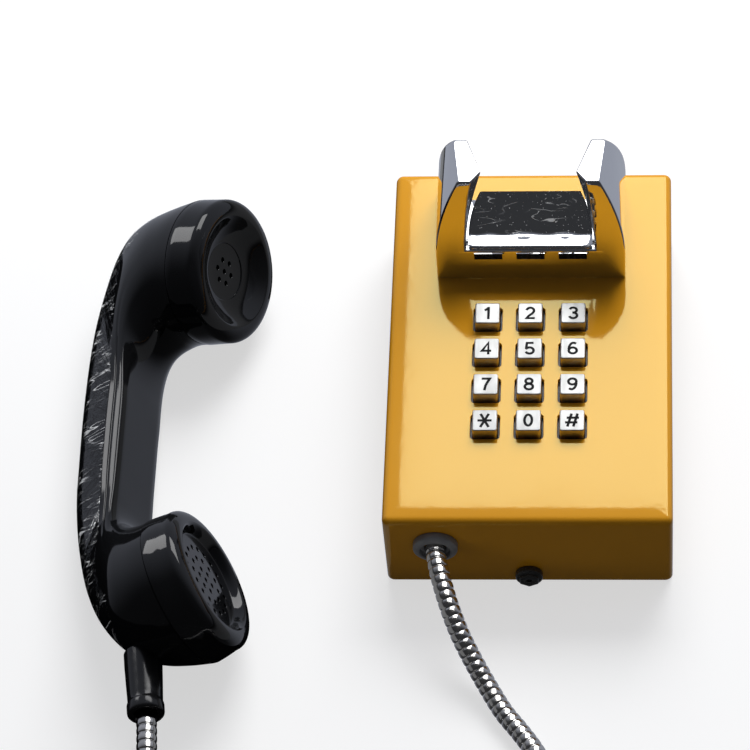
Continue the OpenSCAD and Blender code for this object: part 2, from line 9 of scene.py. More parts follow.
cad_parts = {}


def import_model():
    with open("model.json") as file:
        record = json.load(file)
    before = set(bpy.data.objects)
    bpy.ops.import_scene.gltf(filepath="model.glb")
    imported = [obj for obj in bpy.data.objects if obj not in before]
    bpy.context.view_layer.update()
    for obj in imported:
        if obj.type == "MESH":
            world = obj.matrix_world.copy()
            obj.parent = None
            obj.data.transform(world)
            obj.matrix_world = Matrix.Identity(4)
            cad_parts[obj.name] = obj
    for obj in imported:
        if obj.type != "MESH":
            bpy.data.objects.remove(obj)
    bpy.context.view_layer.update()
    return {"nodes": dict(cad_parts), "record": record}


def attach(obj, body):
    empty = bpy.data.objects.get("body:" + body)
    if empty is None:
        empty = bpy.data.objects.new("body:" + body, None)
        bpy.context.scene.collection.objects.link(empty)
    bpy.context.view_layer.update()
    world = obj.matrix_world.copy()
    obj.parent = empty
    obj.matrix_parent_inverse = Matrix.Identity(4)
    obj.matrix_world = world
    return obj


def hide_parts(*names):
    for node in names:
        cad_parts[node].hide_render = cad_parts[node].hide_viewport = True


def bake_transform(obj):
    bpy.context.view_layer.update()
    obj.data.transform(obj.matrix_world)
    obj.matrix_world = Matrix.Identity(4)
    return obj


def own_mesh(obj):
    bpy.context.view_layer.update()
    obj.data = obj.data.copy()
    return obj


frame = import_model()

MM = 0.001
WELD = 2e-6


# ---------- camera and studio ----------

# The viewpoint: angles in degrees, places and lengths in metres, lens and sensor in millimetres.
VIEW_TURN, VIEW_RISE, VIEW_ROLL = 7.297, 55.579, -6.149
VIEW_AIM, VIEW_DISTANCE = (-0.06933, 0.01455, 0.0), 1.68574
LENS, SENSOR_WIDTH, CLIP_END = 185.02, 36.0, 20.0


def camera():
    azimuth, elevation, roll = math.radians(VIEW_TURN), math.radians(VIEW_RISE), math.radians(VIEW_ROLL)
    back = Vector((math.sin(azimuth) * math.cos(elevation),
                   -math.cos(azimuth) * math.cos(elevation), math.sin(elevation)))
    level = Vector((0, 0, 1)).cross(back).normalized()
    rise = back.cross(level)
    right = math.cos(roll) * level + math.sin(roll) * rise
    up = -math.sin(roll) * level + math.cos(roll) * rise
    data = bpy.data.cameras.new("camera")
    data.sensor_width = SENSOR_WIDTH
    data.lens = LENS
    data.clip_end = CLIP_END
    obj = bpy.data.objects.new("camera", data)
    bpy.context.scene.collection.objects.link(obj)
    turn = Matrix((right, up, back)).transposed().to_4x4()
    obj.matrix_world = Matrix.Translation(Vector(VIEW_AIM) + back * VIEW_DISTANCE) @ turn
    bpy.context.scene.camera = obj


def softbox(name, at, aim, width, height, radiance, glossy=True, only=()):
    """A rectangular light. If only is given, it lights those pieces and no others."""
    data = bpy.data.lights.new(name, "AREA")
    data.shape = "RECTANGLE"
    data.size = width
    data.size_y = height
    data.energy = radiance * math.pi * width * height
    obj = bpy.data.objects.new(name, data)
    bpy.context.scene.collection.objects.link(obj)
    back = (Vector(at) - Vector(aim)).normalized()
    side = Vector((1, 0, 0)) if abs(back.x) < 0.5 else Vector((0, 1, 0))
    rise = back.cross(side).normalized()
    side = rise.cross(back).normalized()
    obj.matrix_world = Matrix.Translation(at) @ Matrix((side, rise, back)).transposed().to_4x4()
    obj.visible_camera = False
    obj.visible_glossy = glossy
    if only:
        lit = bpy.data.collections.new(name + "_lights")
        for one in only:
            lit.objects.link(one)
        obj.light_linking.receiver_collection = lit


# ---------- shader nodes ----------

# The stretch of a noise texture's output that most of its values lie in.
NOISE_LOW, NOISE_HIGH = 0.3, 0.7


def feed(nt, node, values):
    """Sets a node's inputs: each value is a constant, or the output that feeds the socket."""
    for name, value in values.items():
        if isinstance(value, bpy.types.NodeSocket):
            nt.links.new(value, node.inputs[name])
        else:
            node.inputs[name].default_value = value


def add(nt, kind, values=(), **settings):
    node = nt.nodes.new("ShaderNode" + kind)
    for name, value in settings.items():
        setattr(node, name, value)
    feed(nt, node, dict(values))
    return node


def object_place(nt):
    return add(nt, "TexCoord").outputs["Object"]


def noise(nt, vector, scale, detail):
    return add(nt, "TexNoise", {"Vector": vector, "Scale": scale, "Detail": detail}).outputs["Fac"]


def spread(nt, value, start, end, low=0.0, high=1.0, **settings):
    """Turns the range from start to end into the range from low to high."""
    ends = {"Value": value, "From Min": start, "From Max": end, "To Min": low, "To Max": high}
    return add(nt, "MapRange", ends, **settings).outputs["Result"]


def worked_out(nt, operation, *terms):
    return add(nt, "Math", enumerate(terms), operation=operation).outputs[0]


def mixed_colour(nt, share, low, high):
    colours = {"Factor": share, "A": (*low, 1), "B": (*high, 1)}
    return add(nt, "Mix", colours, data_type="RGBA").outputs["Result"]


def scuff_mask(nt, coord, scale, stretch, turn, width, patch_scale, patch_from, patch_to):
    """Thin wandering lines, the middle crossings of a stretched noise, kept only inside soft patches."""
    turned = add(nt, "Mapping", {"Vector": coord, "Scale": stretch, "Rotation": turn}).outputs[0]
    off_middle = worked_out(nt, "ABSOLUTE", worked_out(nt, "SUBTRACT", noise(nt, turned, scale, 1.0), 0.5))
    thin = spread(nt, off_middle, width, width * 0.3)
    patches = spread(nt, noise(nt, coord, patch_scale, 2.0), patch_from, patch_to)
    return worked_out(nt, "MULTIPLY", thin, patches)


def world():
    """A soft sky, brighter behind the housing, and a pale backdrop that only the camera sees."""
    studio = bpy.data.worlds.new("studio")
    bpy.context.scene.world = studio
    studio.use_nodes = True
    nt = studio.node_tree
    nt.nodes.clear()
    depth = add(nt, "SeparateXYZ", {0: add(nt, "TexCoord").outputs["Generated"]}).outputs["Y"]
    share = spread(nt, depth, -0.35, 0.55, interpolation_type="SMOOTHSTEP")
    sky = add(nt, "Background", {"Color": mixed_colour(nt, share, (0.034, 0.035, 0.038), (0.33, 0.35, 0.41))})
    backdrop = add(nt, "Background", {"Color": (0.96, 0.96, 0.96, 1)})
    seen = add(nt, "LightPath").outputs["Is Camera Ray"]
    both = add(nt, "MixShader", {"Fac": seen, 1: sky.outputs[0], 2: backdrop.outputs[0]})
    add(nt, "OutputWorld", {"Surface": both.outputs[0]})


# ---------- materials ----------

# The cards' black: painted shade, which only mirror reflections see.
CARD_BLACK = dict(low=(0.004, 0.004, 0.004), high=(0.006, 0.006, 0.006), rough=(0.8, 0.9), grain=4,
                  specular=0.0)
# Each finish: two colours and two roughnesses that it wanders between, its grain, and its relief.
FINISHES = {
    "body_paint": dict(low=(0.75, 0.325, 0.0125), high=(0.79, 0.345, 0.0145), rough=(0.05, 0.08), grain=14,
                       bumps=[(330, 1.2e-5, 1.0), (45, 1.6e-5, 0.0)], specular=0.92, tint=(1.0, 1.0, 0.50)),
    "chrome": dict(low=(0.80, 0.81, 0.83), high=(0.86, 0.87, 0.88), rough=(0.02, 0.05), metal=1.0, grain=40,
                   bumps=[(60, 1.2e-5, 1.0)]),
    "key_metal": dict(low=(0.50, 0.50, 0.485), high=(0.62, 0.62, 0.60), rough=(0.34, 0.46), metal=1.0,
                      grain=260, stretch=(1, 0.25, 1), bumps=[(1500, 3e-6, 2.0)]),
    "key_mark": dict(low=(0.008, 0.008, 0.009), high=(0.014, 0.014, 0.015), rough=(0.45, 0.6), grain=400,
                     bumps=[(2500, 4e-6, 1.0)], specular=0.12),
    "gloss_black": dict(low=(0.0045, 0.0048, 0.0055), high=(0.0065, 0.0068, 0.0075), rough=(0.05, 0.09),
                        grain=30, bumps=[(90, 1.0e-5, 1.0), (700, 8e-7, 2.0)]),
    "black_steel": dict(low=(0.040, 0.040, 0.039), high=(0.060, 0.060, 0.058), rough=(0.22, 0.32), grain=200,
                        bumps=[(1800, 3e-6, 2.0)]),
    "gland_black": dict(low=(0.22, 0.22, 0.225), high=(0.30, 0.30, 0.305), rough=(0.28, 0.40), grain=180,
                        bumps=[(900, 3e-6, 2.0)]),
    "dark_card": CARD_BLACK,
    "black_rubber": dict(low=(0.006, 0.006, 0.0065), high=(0.010, 0.010, 0.0105), rough=(0.13, 0.20),
                         grain=120, bumps=[(600, 4e-6, 2.0)]),
    "silicone": dict(low=(0.55, 0.54, 0.48), high=(0.64, 0.63, 0.56), rough=(0.5, 0.65), grain=90,
                     bumps=[(900, 5e-6, 2.0)]),
    "zinc_steel": dict(low=(0.50, 0.51, 0.52), high=(0.66, 0.67, 0.67), rough=(0.26, 0.42), metal=1.0,
                       grain=110, bumps=[(700, 4e-6, 3.0)]),
    "hose_steel": dict(low=(0.60, 0.585, 0.56), high=(0.74, 0.725, 0.70), rough=(0.13, 0.24), metal=1.0,
                       grain=160, bumps=[(1400, 3e-6, 2.0)]),
    "circuit_board": dict(low=(0.012, 0.10, 0.035), high=(0.02, 0.15, 0.055), rough=(0.3, 0.45), grain=300,
                          bumps=[(1200, 6e-6, 2.0)]),
    "green_plastic": dict(low=(0.02, 0.20, 0.09), high=(0.03, 0.25, 0.11), rough=(0.35, 0.5), grain=200,
                          bumps=[(1500, 3e-6, 1.0)]),
    "dark_plastic": dict(low=(0.012, 0.012, 0.013), high=(0.02, 0.02, 0.021), rough=(0.4, 0.55), grain=200,
                         bumps=[(1500, 4e-6, 1.0)]),
    "pale_plastic": dict(low=(0.60, 0.59, 0.52), high=(0.68, 0.67, 0.60), rough=(0.4, 0.5), grain=150,
                         bumps=[(1200, 3e-6, 1.0)]),
    "reed_glass": dict(low=(0.45, 0.62, 0.52), high=(0.5, 0.7, 0.6), rough=(0.02, 0.06), grain=200,
                       alpha=0.5),
    "brass": dict(low=(0.62, 0.44, 0.18), high=(0.75, 0.55, 0.26), rough=(0.2, 0.35), metal=1.0, grain=150,
                  bumps=[(900, 3e-6, 2.0)]),
    "wire_cover": dict(low=(0.30, 0.02, 0.02), high=(0.40, 0.03, 0.03), rough=(0.35, 0.5), grain=200,
                       bumps=[(900, 3e-6, 1.0)]),
}


def shader_of(mat):
    return mat.node_tree.nodes["Principled BSDF"]


def material(name, low, high, rough=(0.3, 0.4), metal=0.0, grain=60.0, stretch=(1, 1, 1), bumps=(), alpha=1.0,
             specular=0.5, tint=(1, 1, 1)):
    """A finish whose colour and gloss wander between two values, with fine relief.

    grain is the colour noise's scale per metre; bumps lists (scale per metre, height in metres, detail)."""
    mat = bpy.data.materials.new(name)
    mat.use_nodes = True
    nt = mat.node_tree
    place = add(nt, "Mapping", {"Vector": object_place(nt), "Scale": stretch}).outputs[0]
    share = spread(nt, noise(nt, place, grain, 4.0), NOISE_LOW, NOISE_HIGH)
    gloss = noise(nt, place, grain * 2.3, 6.0)
    feed(nt, shader_of(mat), {
        "Base Color": mixed_colour(nt, share, low, high), "Metallic": metal, "Alpha": alpha,
        "Roughness": spread(nt, gloss, NOISE_LOW, NOISE_HIGH, *rough),
        "Specular IOR Level": specular, "Specular Tint": (*tint, 1)})
    relief = {}
    for size, height, detail in bumps:
        wave = {"Strength": 1.0, "Distance": height, "Height": noise(nt, place, size, detail)}
        relief = {"Normal": add(nt, "Bump", {**wave, **relief}).outputs["Normal"]}
    feed(nt, shader_of(mat), relief)
    return mat


def scratched_chrome():
    """Chrome with pale flecks and short curved scratches."""
    mat = material("flap_chrome", (0.80, 0.81, 0.83), (0.86, 0.87, 0.88), rough=(0.03, 0.08), metal=1.0,
                   grain=40, bumps=[(160, 1.2e-5, 1.0)])
    nt = mat.node_tree
    place = object_place(nt)
    flat = scuff_mask(nt, place, 150.0, (0.45, 1.5, 1.0), (0, 0, 0.35), 0.012, 95.0, 0.52, 0.62)
    steep = scuff_mask(nt, place, 230.0, (0.35, 1.2, 1.0), (0, 0, -0.5), 0.012, 120.0, 0.55, 0.64)
    flecks = spread(nt, noise(nt, place, 1100.0, 1.0), 0.70, 0.74)
    marks = worked_out(nt, "MAXIMUM", worked_out(nt, "MAXIMUM", flat, steep), flecks)
    feed(nt, shader_of(mat), {"Metallic": spread(nt, marks, 0.0, 1.0, 1.0, 0.35)})
    return mat


def floor_material():
    mat = material("floor", (0.40, 0.40, 0.40), (0.43, 0.43, 0.43), rough=(0.7, 0.8), grain=3,
                   bumps=[(60, 1e-5, 2.0)], specular=0.0)
    feed(mat.node_tree, shader_of(mat), {"Emission Color": (1, 1, 1, 1), "Emission Strength": 0.62})
    return mat


def graded_card():
    """A card with a painted glow: grey near the floor and dark at its upper edge, seen only in mirror
    reflections.
    """
    mat = material("side_card", **CARD_BLACK)
    nt = mat.node_tree
    height = add(nt, "SeparateXYZ", {0: object_place(nt)}).outputs["Z"]
    # Painted light: a grey glow in the card's lower part, which only mirror reflections see.
    painted_glow = spread(nt, height, 0.030, 0.043, 0.22, 0.0, interpolation_type="SMOOTHSTEP")
    feed(nt, shader_of(mat), {"Emission Color": (0.93, 0.95, 1.0, 1), "Emission Strength": painted_glow})
    return mat


def film_material():
    """Clear film: a thin sheen whose strength wanders, with everything else let through."""
    mat = material("film", (0.80, 0.81, 0.82), (0.90, 0.91, 0.92), rough=(0.10, 0.26), metal=1.0, grain=220,
                   bumps=[(700, 2.5e-5, 2.0)])
    nt = mat.node_tree
    place = object_place(nt)
    sheen = spread(nt, noise(nt, place, 260.0, 5.0), 0.35, 0.75, 0.01, 0.055)
    wide = scuff_mask(nt, place, 210.0, (0.16, 1.0, 0.16), (0.5, 0, 0.3), 0.016, 55.0, 0.44, 0.56)
    fine = scuff_mask(nt, place, 330.0, (0.14, 0.9, 0.14), (-0.35, 0, -0.2), 0.014, 70.0, 0.47, 0.58)
    streaks = worked_out(nt, "MAXIMUM", wide, fine)
    feed(nt, shader_of(mat), {"Alpha": worked_out(nt, "MULTIPLY_ADD", streaks, 0.36, sheen),
                              "Metallic": spread(nt, streaks, 0.0, 1.0, 1.0, 0.0)})
    return mat


def make_materials():
    mats = {name: material(name, **finish) for name, finish in FINISHES.items()}
    mats["film"] = film_material()
    mats["side_card"] = graded_card()
    mats["floor"] = floor_material()
    mats["flap_chrome"] = scratched_chrome()
    return mats


# ---------- mesh helpers ----------

def piece(name, verts, faces, mat, body, slot=None, replaces=(), angle=30.0, place=None, indices=None):
    """A smooth piece in the row frame. verts are in millimetres, before place if it is given."""
    mesh = bpy.data.meshes.new(name)
    if place is not None:
        verts = [place @ Vector(v) for v in verts]
    mesh.from_pydata([tuple(c * MM for c in v) for v in verts], [], faces)
    mesh.update()
    obj = bpy.data.objects.new(name, mesh)
    bpy.context.scene.collection.objects.link(obj)
    for one in (mat if isinstance(mat, (list, tuple)) else [mat]):
        mesh.materials.append(one)
    if indices is not None:
        mesh.polygons.foreach_set("material_index", indices)
    mend(obj, angle)
    if body:
        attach(obj, body)
    if replaces:
        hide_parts(*replaces)
    return obj


def mend(obj, angle, weld=0.0):
    """Welds points within the weld distance, turns faces outward and shades smooth up to the angle."""
    bm = bmesh.new()
    bm.from_mesh(obj.data)
    if weld:
        bmesh.ops.remove_doubles(bm, verts=bm.verts, dist=weld)
    bmesh.ops.recalc_face_normals(bm, faces=bm.faces)
    bm.to_mesh(obj.data)
    bm.free()
    obj.data.shade_smooth()
    obj.data.set_sharp_from_angle(angle=math.radians(angle))


def loft(rings, caps=(True, True)):
    """Faces between equal closed rings of points, with or without end caps."""
    n = len(rings[0])
    verts = [p for ring in rings for p in ring]
    faces = []
    for k in range(len(rings) - 1):
        for i in range(n):
            a, b = k * n + i, k * n + (i + 1) % n
            faces.append((a, b, b + n, a + n))
    if caps[0]:
        faces.append(tuple(range(n - 1, -1, -1)))
    if caps[1]:
        faces.append(tuple(range((len(rings) - 1) * n, len(rings) * n)))
    return verts, faces


def grid_faces(rows, cols):
    """Faces of a sheet of points that has cols + 1 points in each of its rows + 1 rows."""
    n = cols + 1
    return [(k * n + i, k * n + i + 1, (k + 1) * n + i + 1, (k + 1) * n + i)
            for k in range(rows) for i in range(cols)]


def join(parts):
    verts, faces = [], []
    for v, f in parts:
        base = len(verts)
        verts += list(v)
        faces += [tuple(base + i for i in face) for face in f]
    return verts, faces


def circle(count, radius, turn=0.0, at=(0, 0)):
    turns = [2 * math.pi * k / count + turn for k in range(count)]
    return [(at[0] + radius * math.cos(a), at[1] + radius * math.sin(a)) for a in turns]


def oval(cx, cy, rx, ry, start, end, n=14):
    """Points along part of an ellipse, from one angle to another in degrees."""
    turns = [math.radians(start + (end - start) * i / n) for i in range(n + 1)]
    return [(cx + rx * math.cos(a), cy + ry * math.sin(a)) for a in turns]


def quarter(n, first=1):
    """The steps of a rounded edge, from its foot to its top: (share inward, share upward)."""
    turns = [math.radians(90 * k / n) for k in range(first, n + 1)]
    return [(1 - math.cos(a), math.sin(a)) for a in turns]


def revolve(profile, sides=64, closed=False):
    """Turns a profile of (radius, height) about Z; radius 0 makes a pole."""
    verts, faces, rows = [], [], []
    for r, h in profile:
        made = [(*p, h) for p in circle(sides, r)] if r > 0 else [(0, 0, h)]
        rows.append(list(range(len(verts), len(verts) + len(made))))
        verts += made
    for a, b in list(zip(rows, rows[1:])) + ([(rows[-1], rows[0])] if closed else []):
        for i in range(sides):
            j = (i + 1) % sides
            if len(a) > 1 and len(b) > 1:
                faces.append((a[i], a[j], b[j], b[i]))
            elif len(a) > 1:
                faces.append((a[i], a[j], b[0]))
            elif len(b) > 1:
                faces.append((a[0], b[j], b[i]))
    return verts, faces


def rounded_rect(w, h, r, n=6, at=(0, 0)):
    out = []
    for sx, sy, start in ((1, 1, 0), (-1, 1, 90), (-1, -1, 180), (1, -1, 270)):
        out += oval(at[0] + sx * (w / 2 - r), at[1] + sy * (h / 2 - r), r, r, start, start + 90, n)
    return out


def rounded_poly(corners, radii, n=5):
    """A convex outline with its corners rounded: n + 1 points at each corner."""
    out = []
    count = len(corners)
    for i in range(count):
        p = np.array(corners[i], float)
        a = np.array(corners[i - 1], float) - p
        b = np.array(corners[(i + 1) % count], float) - p
        a /= np.linalg.norm(a)
        b /= np.linalg.norm(b)
        half = math.acos(max(-1, min(1, float(a @ b)))) / 2
        r = radii[i]
        reach = r / math.tan(half)
        mid = (a + b) / np.linalg.norm(a + b)
        centre = p + mid * (r / math.sin(half))
        start, end = p + a * reach - centre, p + b * reach - centre
        turn = math.pi - 2 * half
        side = 1 if start[0] * end[1] - start[1] * end[0] > 0 else -1
        for k in range(n + 1):
            t = side * turn * k / n
            out.append((centre[0] + start[0] * math.cos(t) - start[1] * math.sin(t),
                        centre[1] + start[0] * math.sin(t) + start[1] * math.cos(t)))
    return out


def shrink(corners, amount):
    """A convex outline, listed counter-clockwise, with every side moved inward."""
    count = len(corners)
    lines = []
    for i in range(count):
        p, q = np.array(corners[i], float), np.array(corners[(i + 1) % count], float)
        d = (q - p) / np.linalg.norm(q - p)
        inward = np.array([-d[1], d[0]])
        lines.append((p + inward * amount, d))
    out = []
    for i in range(count):
        (p, d), (q, e) = lines[i - 1], lines[i]
        t = np.cross(q - p, e) / np.cross(d, e)
        out.append(tuple(p + d * t))
    return out


def filled(loops, z):
    """Flat faces between loops of (x, y) points: the first loop is outside, and the others are holes."""
    bm = bmesh.new()
    edges = []
    for loop in loops:
        made = [bm.verts.new((p[0], p[1], z)) for p in loop]
        edges += [bm.edges.new((made[i], made[(i + 1) % len(made)])) for i in range(len(made))]
    bm.verts.index_update()
    bmesh.ops.triangle_fill(bm, use_beauty=True, use_dissolve=False, edges=edges, normal=(0, 0, 1))
    bm.verts.index_update()
    verts = [tuple(v.co) for v in bm.verts]
    faces = [tuple(v.index for v in f.verts) for f in bm.faces]
    bm.free()
    return verts, faces


def spline(points, steps):
    """Centripetal-like smooth curve through rows of numbers: steps samples between neighbours."""
    p = np.array(points, float)
    ext = np.vstack([2 * p[0] - p[1], p, 2 * p[-1] - p[-2]])
    out = []
    for i in range(1, len(ext) - 2):
        for k in range(steps):
            t = k / steps
            a, b, c, d = ext[i - 1], ext[i], ext[i + 1], ext[i + 2]
            out.append(0.5 * (2 * b + (c - a) * t + (2 * a - 5 * b + 4 * c - d) * t * t
                              + (3 * b - a - 3 * c + d) * t ** 3))
    out.append(p[-1])
    return np.array(out)


def evened(path, step):
    """The path again, with its points a step apart."""
    gaps = np.linalg.norm(np.diff(path, axis=0), axis=1)
    run = np.concatenate([[0], np.cumsum(gaps)])
    n = max(2, int(round(run[-1] / step)))
    at = np.linspace(0, run[-1], n + 1)
    return np.column_stack([np.interp(at, run, path[:, i]) for i in range(3)]), run[-1]


def carried_frames(path):
    """Side and lift vectors carried along a path without twist."""
    t = np.gradient(path, axis=0)
    t /= np.linalg.norm(t, axis=1)[:, None]
    side = np.cross(t[0], [0, 0, 1.0])
    side /= np.linalg.norm(side)
    sides, lifts = [], []
    for k in range(len(path)):
        side = side - t[k] * (side @ t[k])
        side /= np.linalg.norm(side)
        sides.append(side)
        lifts.append(np.cross(side, t[k]))
    return np.array(sides), np.array(lifts)


# ---------- the armoured cord ----------

# The cord's diameter, its middle's height on the floor, and its route past the housing and to the handset.
CORD_D, FLOOR_Z = 8.6, 4.4
LEAD = [(-38.4, -87.7, 29), (-38.2, -94, 29), (-36.9, -101, 28.6), (-34.8, -109, 26.6), (-31.7, -118, 23),
        (-27.6, -127, 17.8), (-22.2, -136, 11.9), (-16.2, -145.5, 7.3), (-9.6, -156, 4.9), (-3, -164.6, 4.4),
        (3.1, -173.5, 4.4), (8, -183, 4.4), (12, -194, 4.4), (14.8, -207, 4.4), (16.4, -221, 4.4),
        (17, -237, 4.4)]
COIL_AT, COIL_R = (-30, -253), 47
# The turn of the coil where it starts to climb onto itself, and the part of a turn that the climb takes.
RISE_FROM, RISE_OVER = 0.62, 0.28
TAIL = [(-42.5, -300, 12.6), (-55, -300, 10.9), (-67.5, -300, 8.4), (-80, -299.8, 6.2),
        (-92.5, -298.6, 4.9), (-104.5, -296, 4.5), (-116, -291.7, 4.4), (-126.5, -285.5, 4.4),
        (-135.5, -277.5, 4.4), (-142.5, -268, 4.4), (-147.5, -257, 5), (-150.4, -246, 7),
        (-151.6, -234, 10.6), (-152, -222, 15.2), (-151.9, -210, 20.2), (-151.9, -198, 24.7),
        (-152.3, -187, 27.3), (-152.9, -177.5, 27.9), (-153.67, -171.15, 27.6)]


def cord_route():
    points = list(LEAD)
    turns, per_turn = 1.25, 24
    for k in range(int(turns * per_turn) + 1):
        turn = k / per_turn
        a = -2 * math.pi * turn
        rise = min(1, max(0, (turn - RISE_FROM) / RISE_OVER))
        z = FLOOR_Z + CORD_D * rise * rise * (3 - 2 * rise)
        points.append((COIL_AT[0] + COIL_R * math.cos(a), COIL_AT[1] + COIL_R * math.sin(a), z))
    return spline(points + TAIL, 8)


def armoured_cord(mats):
    """A hose of rolled ribs, each a share of the pitch along the route by a radius."""
    pitch, sides = 3.5, 24
    rib = [(0.0, 3.86), (0.07, 3.86), (0.12, 4.06), (0.22, 4.18), (0.42, 4.24), (0.66, 4.23), (0.84, 4.16),
           (0.95, 3.98)]
    path, total = evened(cord_route(), 0.5)
    run = np.linspace(0, total, len(path))
    tracks = (path, *carried_frames(path))
    rings = []
    for k in range(int(total / pitch)):
        for share, radius in rib:
            s = (k + share) * pitch
            c, u, v = [np.array([np.interp(s, run, track[:, i]) for i in range(3)]) for track in tracks]
            rings.append([tuple(c + radius * (x * u + y * v)) for x, y in circle(sides, 1)])
    obj = piece("armoured_hose", *loft(rings), mats["hose_steel"], None, "hose_steel", angle=50)
    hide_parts("cord_lead", "cord_coil", "cord_tail")
    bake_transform(obj)
    return obj


# ---------- housing ----------

BODY_W, BODY_H, BODY_D = 120.0, 180.0, 46.0
PITCH, KEY_SIDE, KEYPAD_Y = 18.2, 10.4, -15.7
KEY_NAMES = ["1", "2", "3", "4", "5", "6", "7", "8", "9", "star", "0", "hash"]


def key_xy(i):
    return (i % 3 - 1) * PITCH, KEYPAD_Y + (1.5 - i // 3) * PITCH


def housing(mats):
    """The folded shell: its outside, twelve rolled key openings, and its inner face."""
    bend, corner, crown, lip, wall = 3.0, 3.2, 0.10, 0.16, 2.0
    crown_from, crown_to = 3.6, 7.2
    levels = [(0.35, 0.0), (0.0, 0.35), (0.0, 20.0), (0.0, BODY_D - bend - crown - 0.4)]
    levels += [(bend * inward, BODY_D - crown - bend + bend * up) for inward, up in quarter(8, 0)]
    for inset in (crown_from, 4.4, 5.4, 6.4, crown_to):
        levels.append((inset, BODY_D - crown * ((crown_to - inset) / 4.2) ** 2))
    levels.append((8.0, BODY_D))

    def ring(inset, z):
        r = max(corner - inset, 0.8)
        return [(x, y, z) for x, y in rounded_rect(BODY_W - 2 * inset, BODY_H - 2 * inset, r, 8)]

    def opening(i, grow, r):
        side = KEY_SIDE + 2 + 2 * grow
        return rounded_rect(side, side, r, 5, key_xy(i))

    holes, walls = [], []
    for i in range(12):
        holes.append(opening(i, lip + 0.06, 1.7))
        rows = [[(*p, BODY_D) for p in holes[-1]], [(*p, BODY_D) for p in opening(i, lip, 1.66)]]
        for inward, up in quarter(4):
            rows.append([(*p, BODY_D - lip * inward) for p in opening(i, lip - lip * up, 1.5)])
        rows.append([(*p, BODY_D - wall) for p in opening(i, 0, 1.5)])
        walls.append(loft(rows, caps=(False, False)))
    outer = loft([ring(i, z) for i, z in levels], caps=(False, False))
    face = filled([[p[:2] for p in ring(*levels[-1])]] + holes, BODY_D)
    inside = rounded_rect(BODY_W - 2 * wall, BODY_H - 2 * wall, 1.2, 8)
    rim = rounded_rect(BODY_W - 0.7, BODY_H - 0.7, corner - 0.35, 8)
    inner = loft([[(*p, z) for p in outline]
                  for outline, z in ((rim, 0.0), (inside, 0.0), (inside, BODY_D - wall))], caps=(False, False))
    under = filled([inside] + [opening(i, 0, 1.5) for i in range(12)], BODY_D - wall)
    shell = piece("painted_housing", *join([outer, face, *walls, inner, under]), mats["body_paint"], "root",
                "body_paint", ["housing"], angle=40)
    mend(shell, 40, WELD)


# ---------- cradle ----------

TIP_Z, BASE_Z = 103.5, 46.0


def ease(z, start, k):
    return k * max(0.0, z - start) ** 2


def low_y(z):
    return 33.5 + 0.03 * (z - BASE_Z) + 0.00188 * (z - BASE_Z) ** 2


def top_y(z):
    return 82 - 0.00547 * (z - BASE_Z) ** 2


def ear_corners(z):
    """The right ear's section, counter-clockwise, with its inner front edge cut back towards the tip."""
    cut = 0.9 + 3.4 * max(0.0, (z - 74) / 29.5) ** 1.5
    xo, xt = 40.3 - ease(z, 61.6, 0.006), 40.3 - ease(z, 60, 0.00412)
    xi, xl = 28.5 - ease(z, 64, 0.00154), 27.2 - ease(z, 64.3, 0.0048)
    y0, y1 = low_y(z), top_y(z)
    return [(xl + cut, y0), (xo, y0), (xt, y1), (xi, y1), (xl, y0 + cut * 1.3)]


def ear(side):
    tip_r = 0.7
    radii = [0.5, 0.9, 1.4, 1.2, 0.5]
    rings = []
    zs = [(BASE_Z + 0.02 + (TIP_Z - tip_r - BASE_Z) * k / 44, 0.0) for k in range(45)]
    zs += [(TIP_Z - tip_r + tip_r * up, tip_r * inward) for inward, up in quarter(5)]
    zs.append((TIP_Z, tip_r + 0.25))
    for z, inset in zs:
        outline = shrink(ear_corners(z), inset) if inset > 0 else ear_corners(z)
        pts = rounded_poly(outline, [max(0.15, r - inset * 0.5) for r in radii], 5)
        rings.append([(side * p[0], p[1], z) for p in pts])
    return loft(rings)


def front_wall():
    """The wall below the flap, flush with the ears, with its three slots, and which faces line the slots:
    these get black steel, painted shade inside the slots.
    """
    half, top, inner_y, edge, proud = 31.0, 64.1, 37.1, 0.5, 0.03
    slot_low, slot_high, slot_half, slot_step = 58.7, 62.8, 6.0, 18
    xs = [-half] + [at + side * slot_half for at in (-slot_step, 0, slot_step) for side in (-1, 1)] + [half]
    zs = [BASE_Z + 0.02 + (slot_low - BASE_Z) * k / 14 for k in range(14)] + [slot_low, slot_high, top - edge]
    index, verts, faces, dark = {}, [], [], set()

    def vert(x, y, z):
        key = (round(x, 4), round(y, 4), round(z, 4))
        if key not in index:
            index[key] = len(verts)
            verts.append((x, y, z))
        return index[key]

    def front(x, z):
        return vert(x, low_y(z) - proud, z)

    def deep(x, z):
        return vert(x, inner_y, z)

    for x0, x1 in zip(xs, xs[1:]):
        for z0, z1 in zip(zs, zs[1:]):
            corners = [(x0, z0), (x1, z0), (x1, z1), (x0, z1)]
            if abs((x0 + x1) / 2) not in (0, slot_step) or z0 != slot_low:
                faces.append(tuple(front(*c) for c in corners))
                continue
            for a, b in zip(corners, corners[1:] + corners[:1]):
                # Slot lining: painted shade, drawn in black steel.
                dark.add(len(faces))
                faces.append((front(*a), front(*b), deep(*b), deep(*a)))
    lip = [(low_y(top - edge) - proud, top - edge)]
    lip += [(low_y(top) + edge * inward, top - edge + edge * up) for inward, up in quarter(4)]
    lip.append((inner_y, top))
    for x0, x1 in zip(xs, xs[1:]):
        for (y0, z0), (y1, z1) in zip(lip, lip[1:]):
            faces.append((vert(x0, y0, z0), vert(x1, y0, z0), vert(x1, y1, z1), vert(x0, y1, z1)))
    return verts, faces, dark


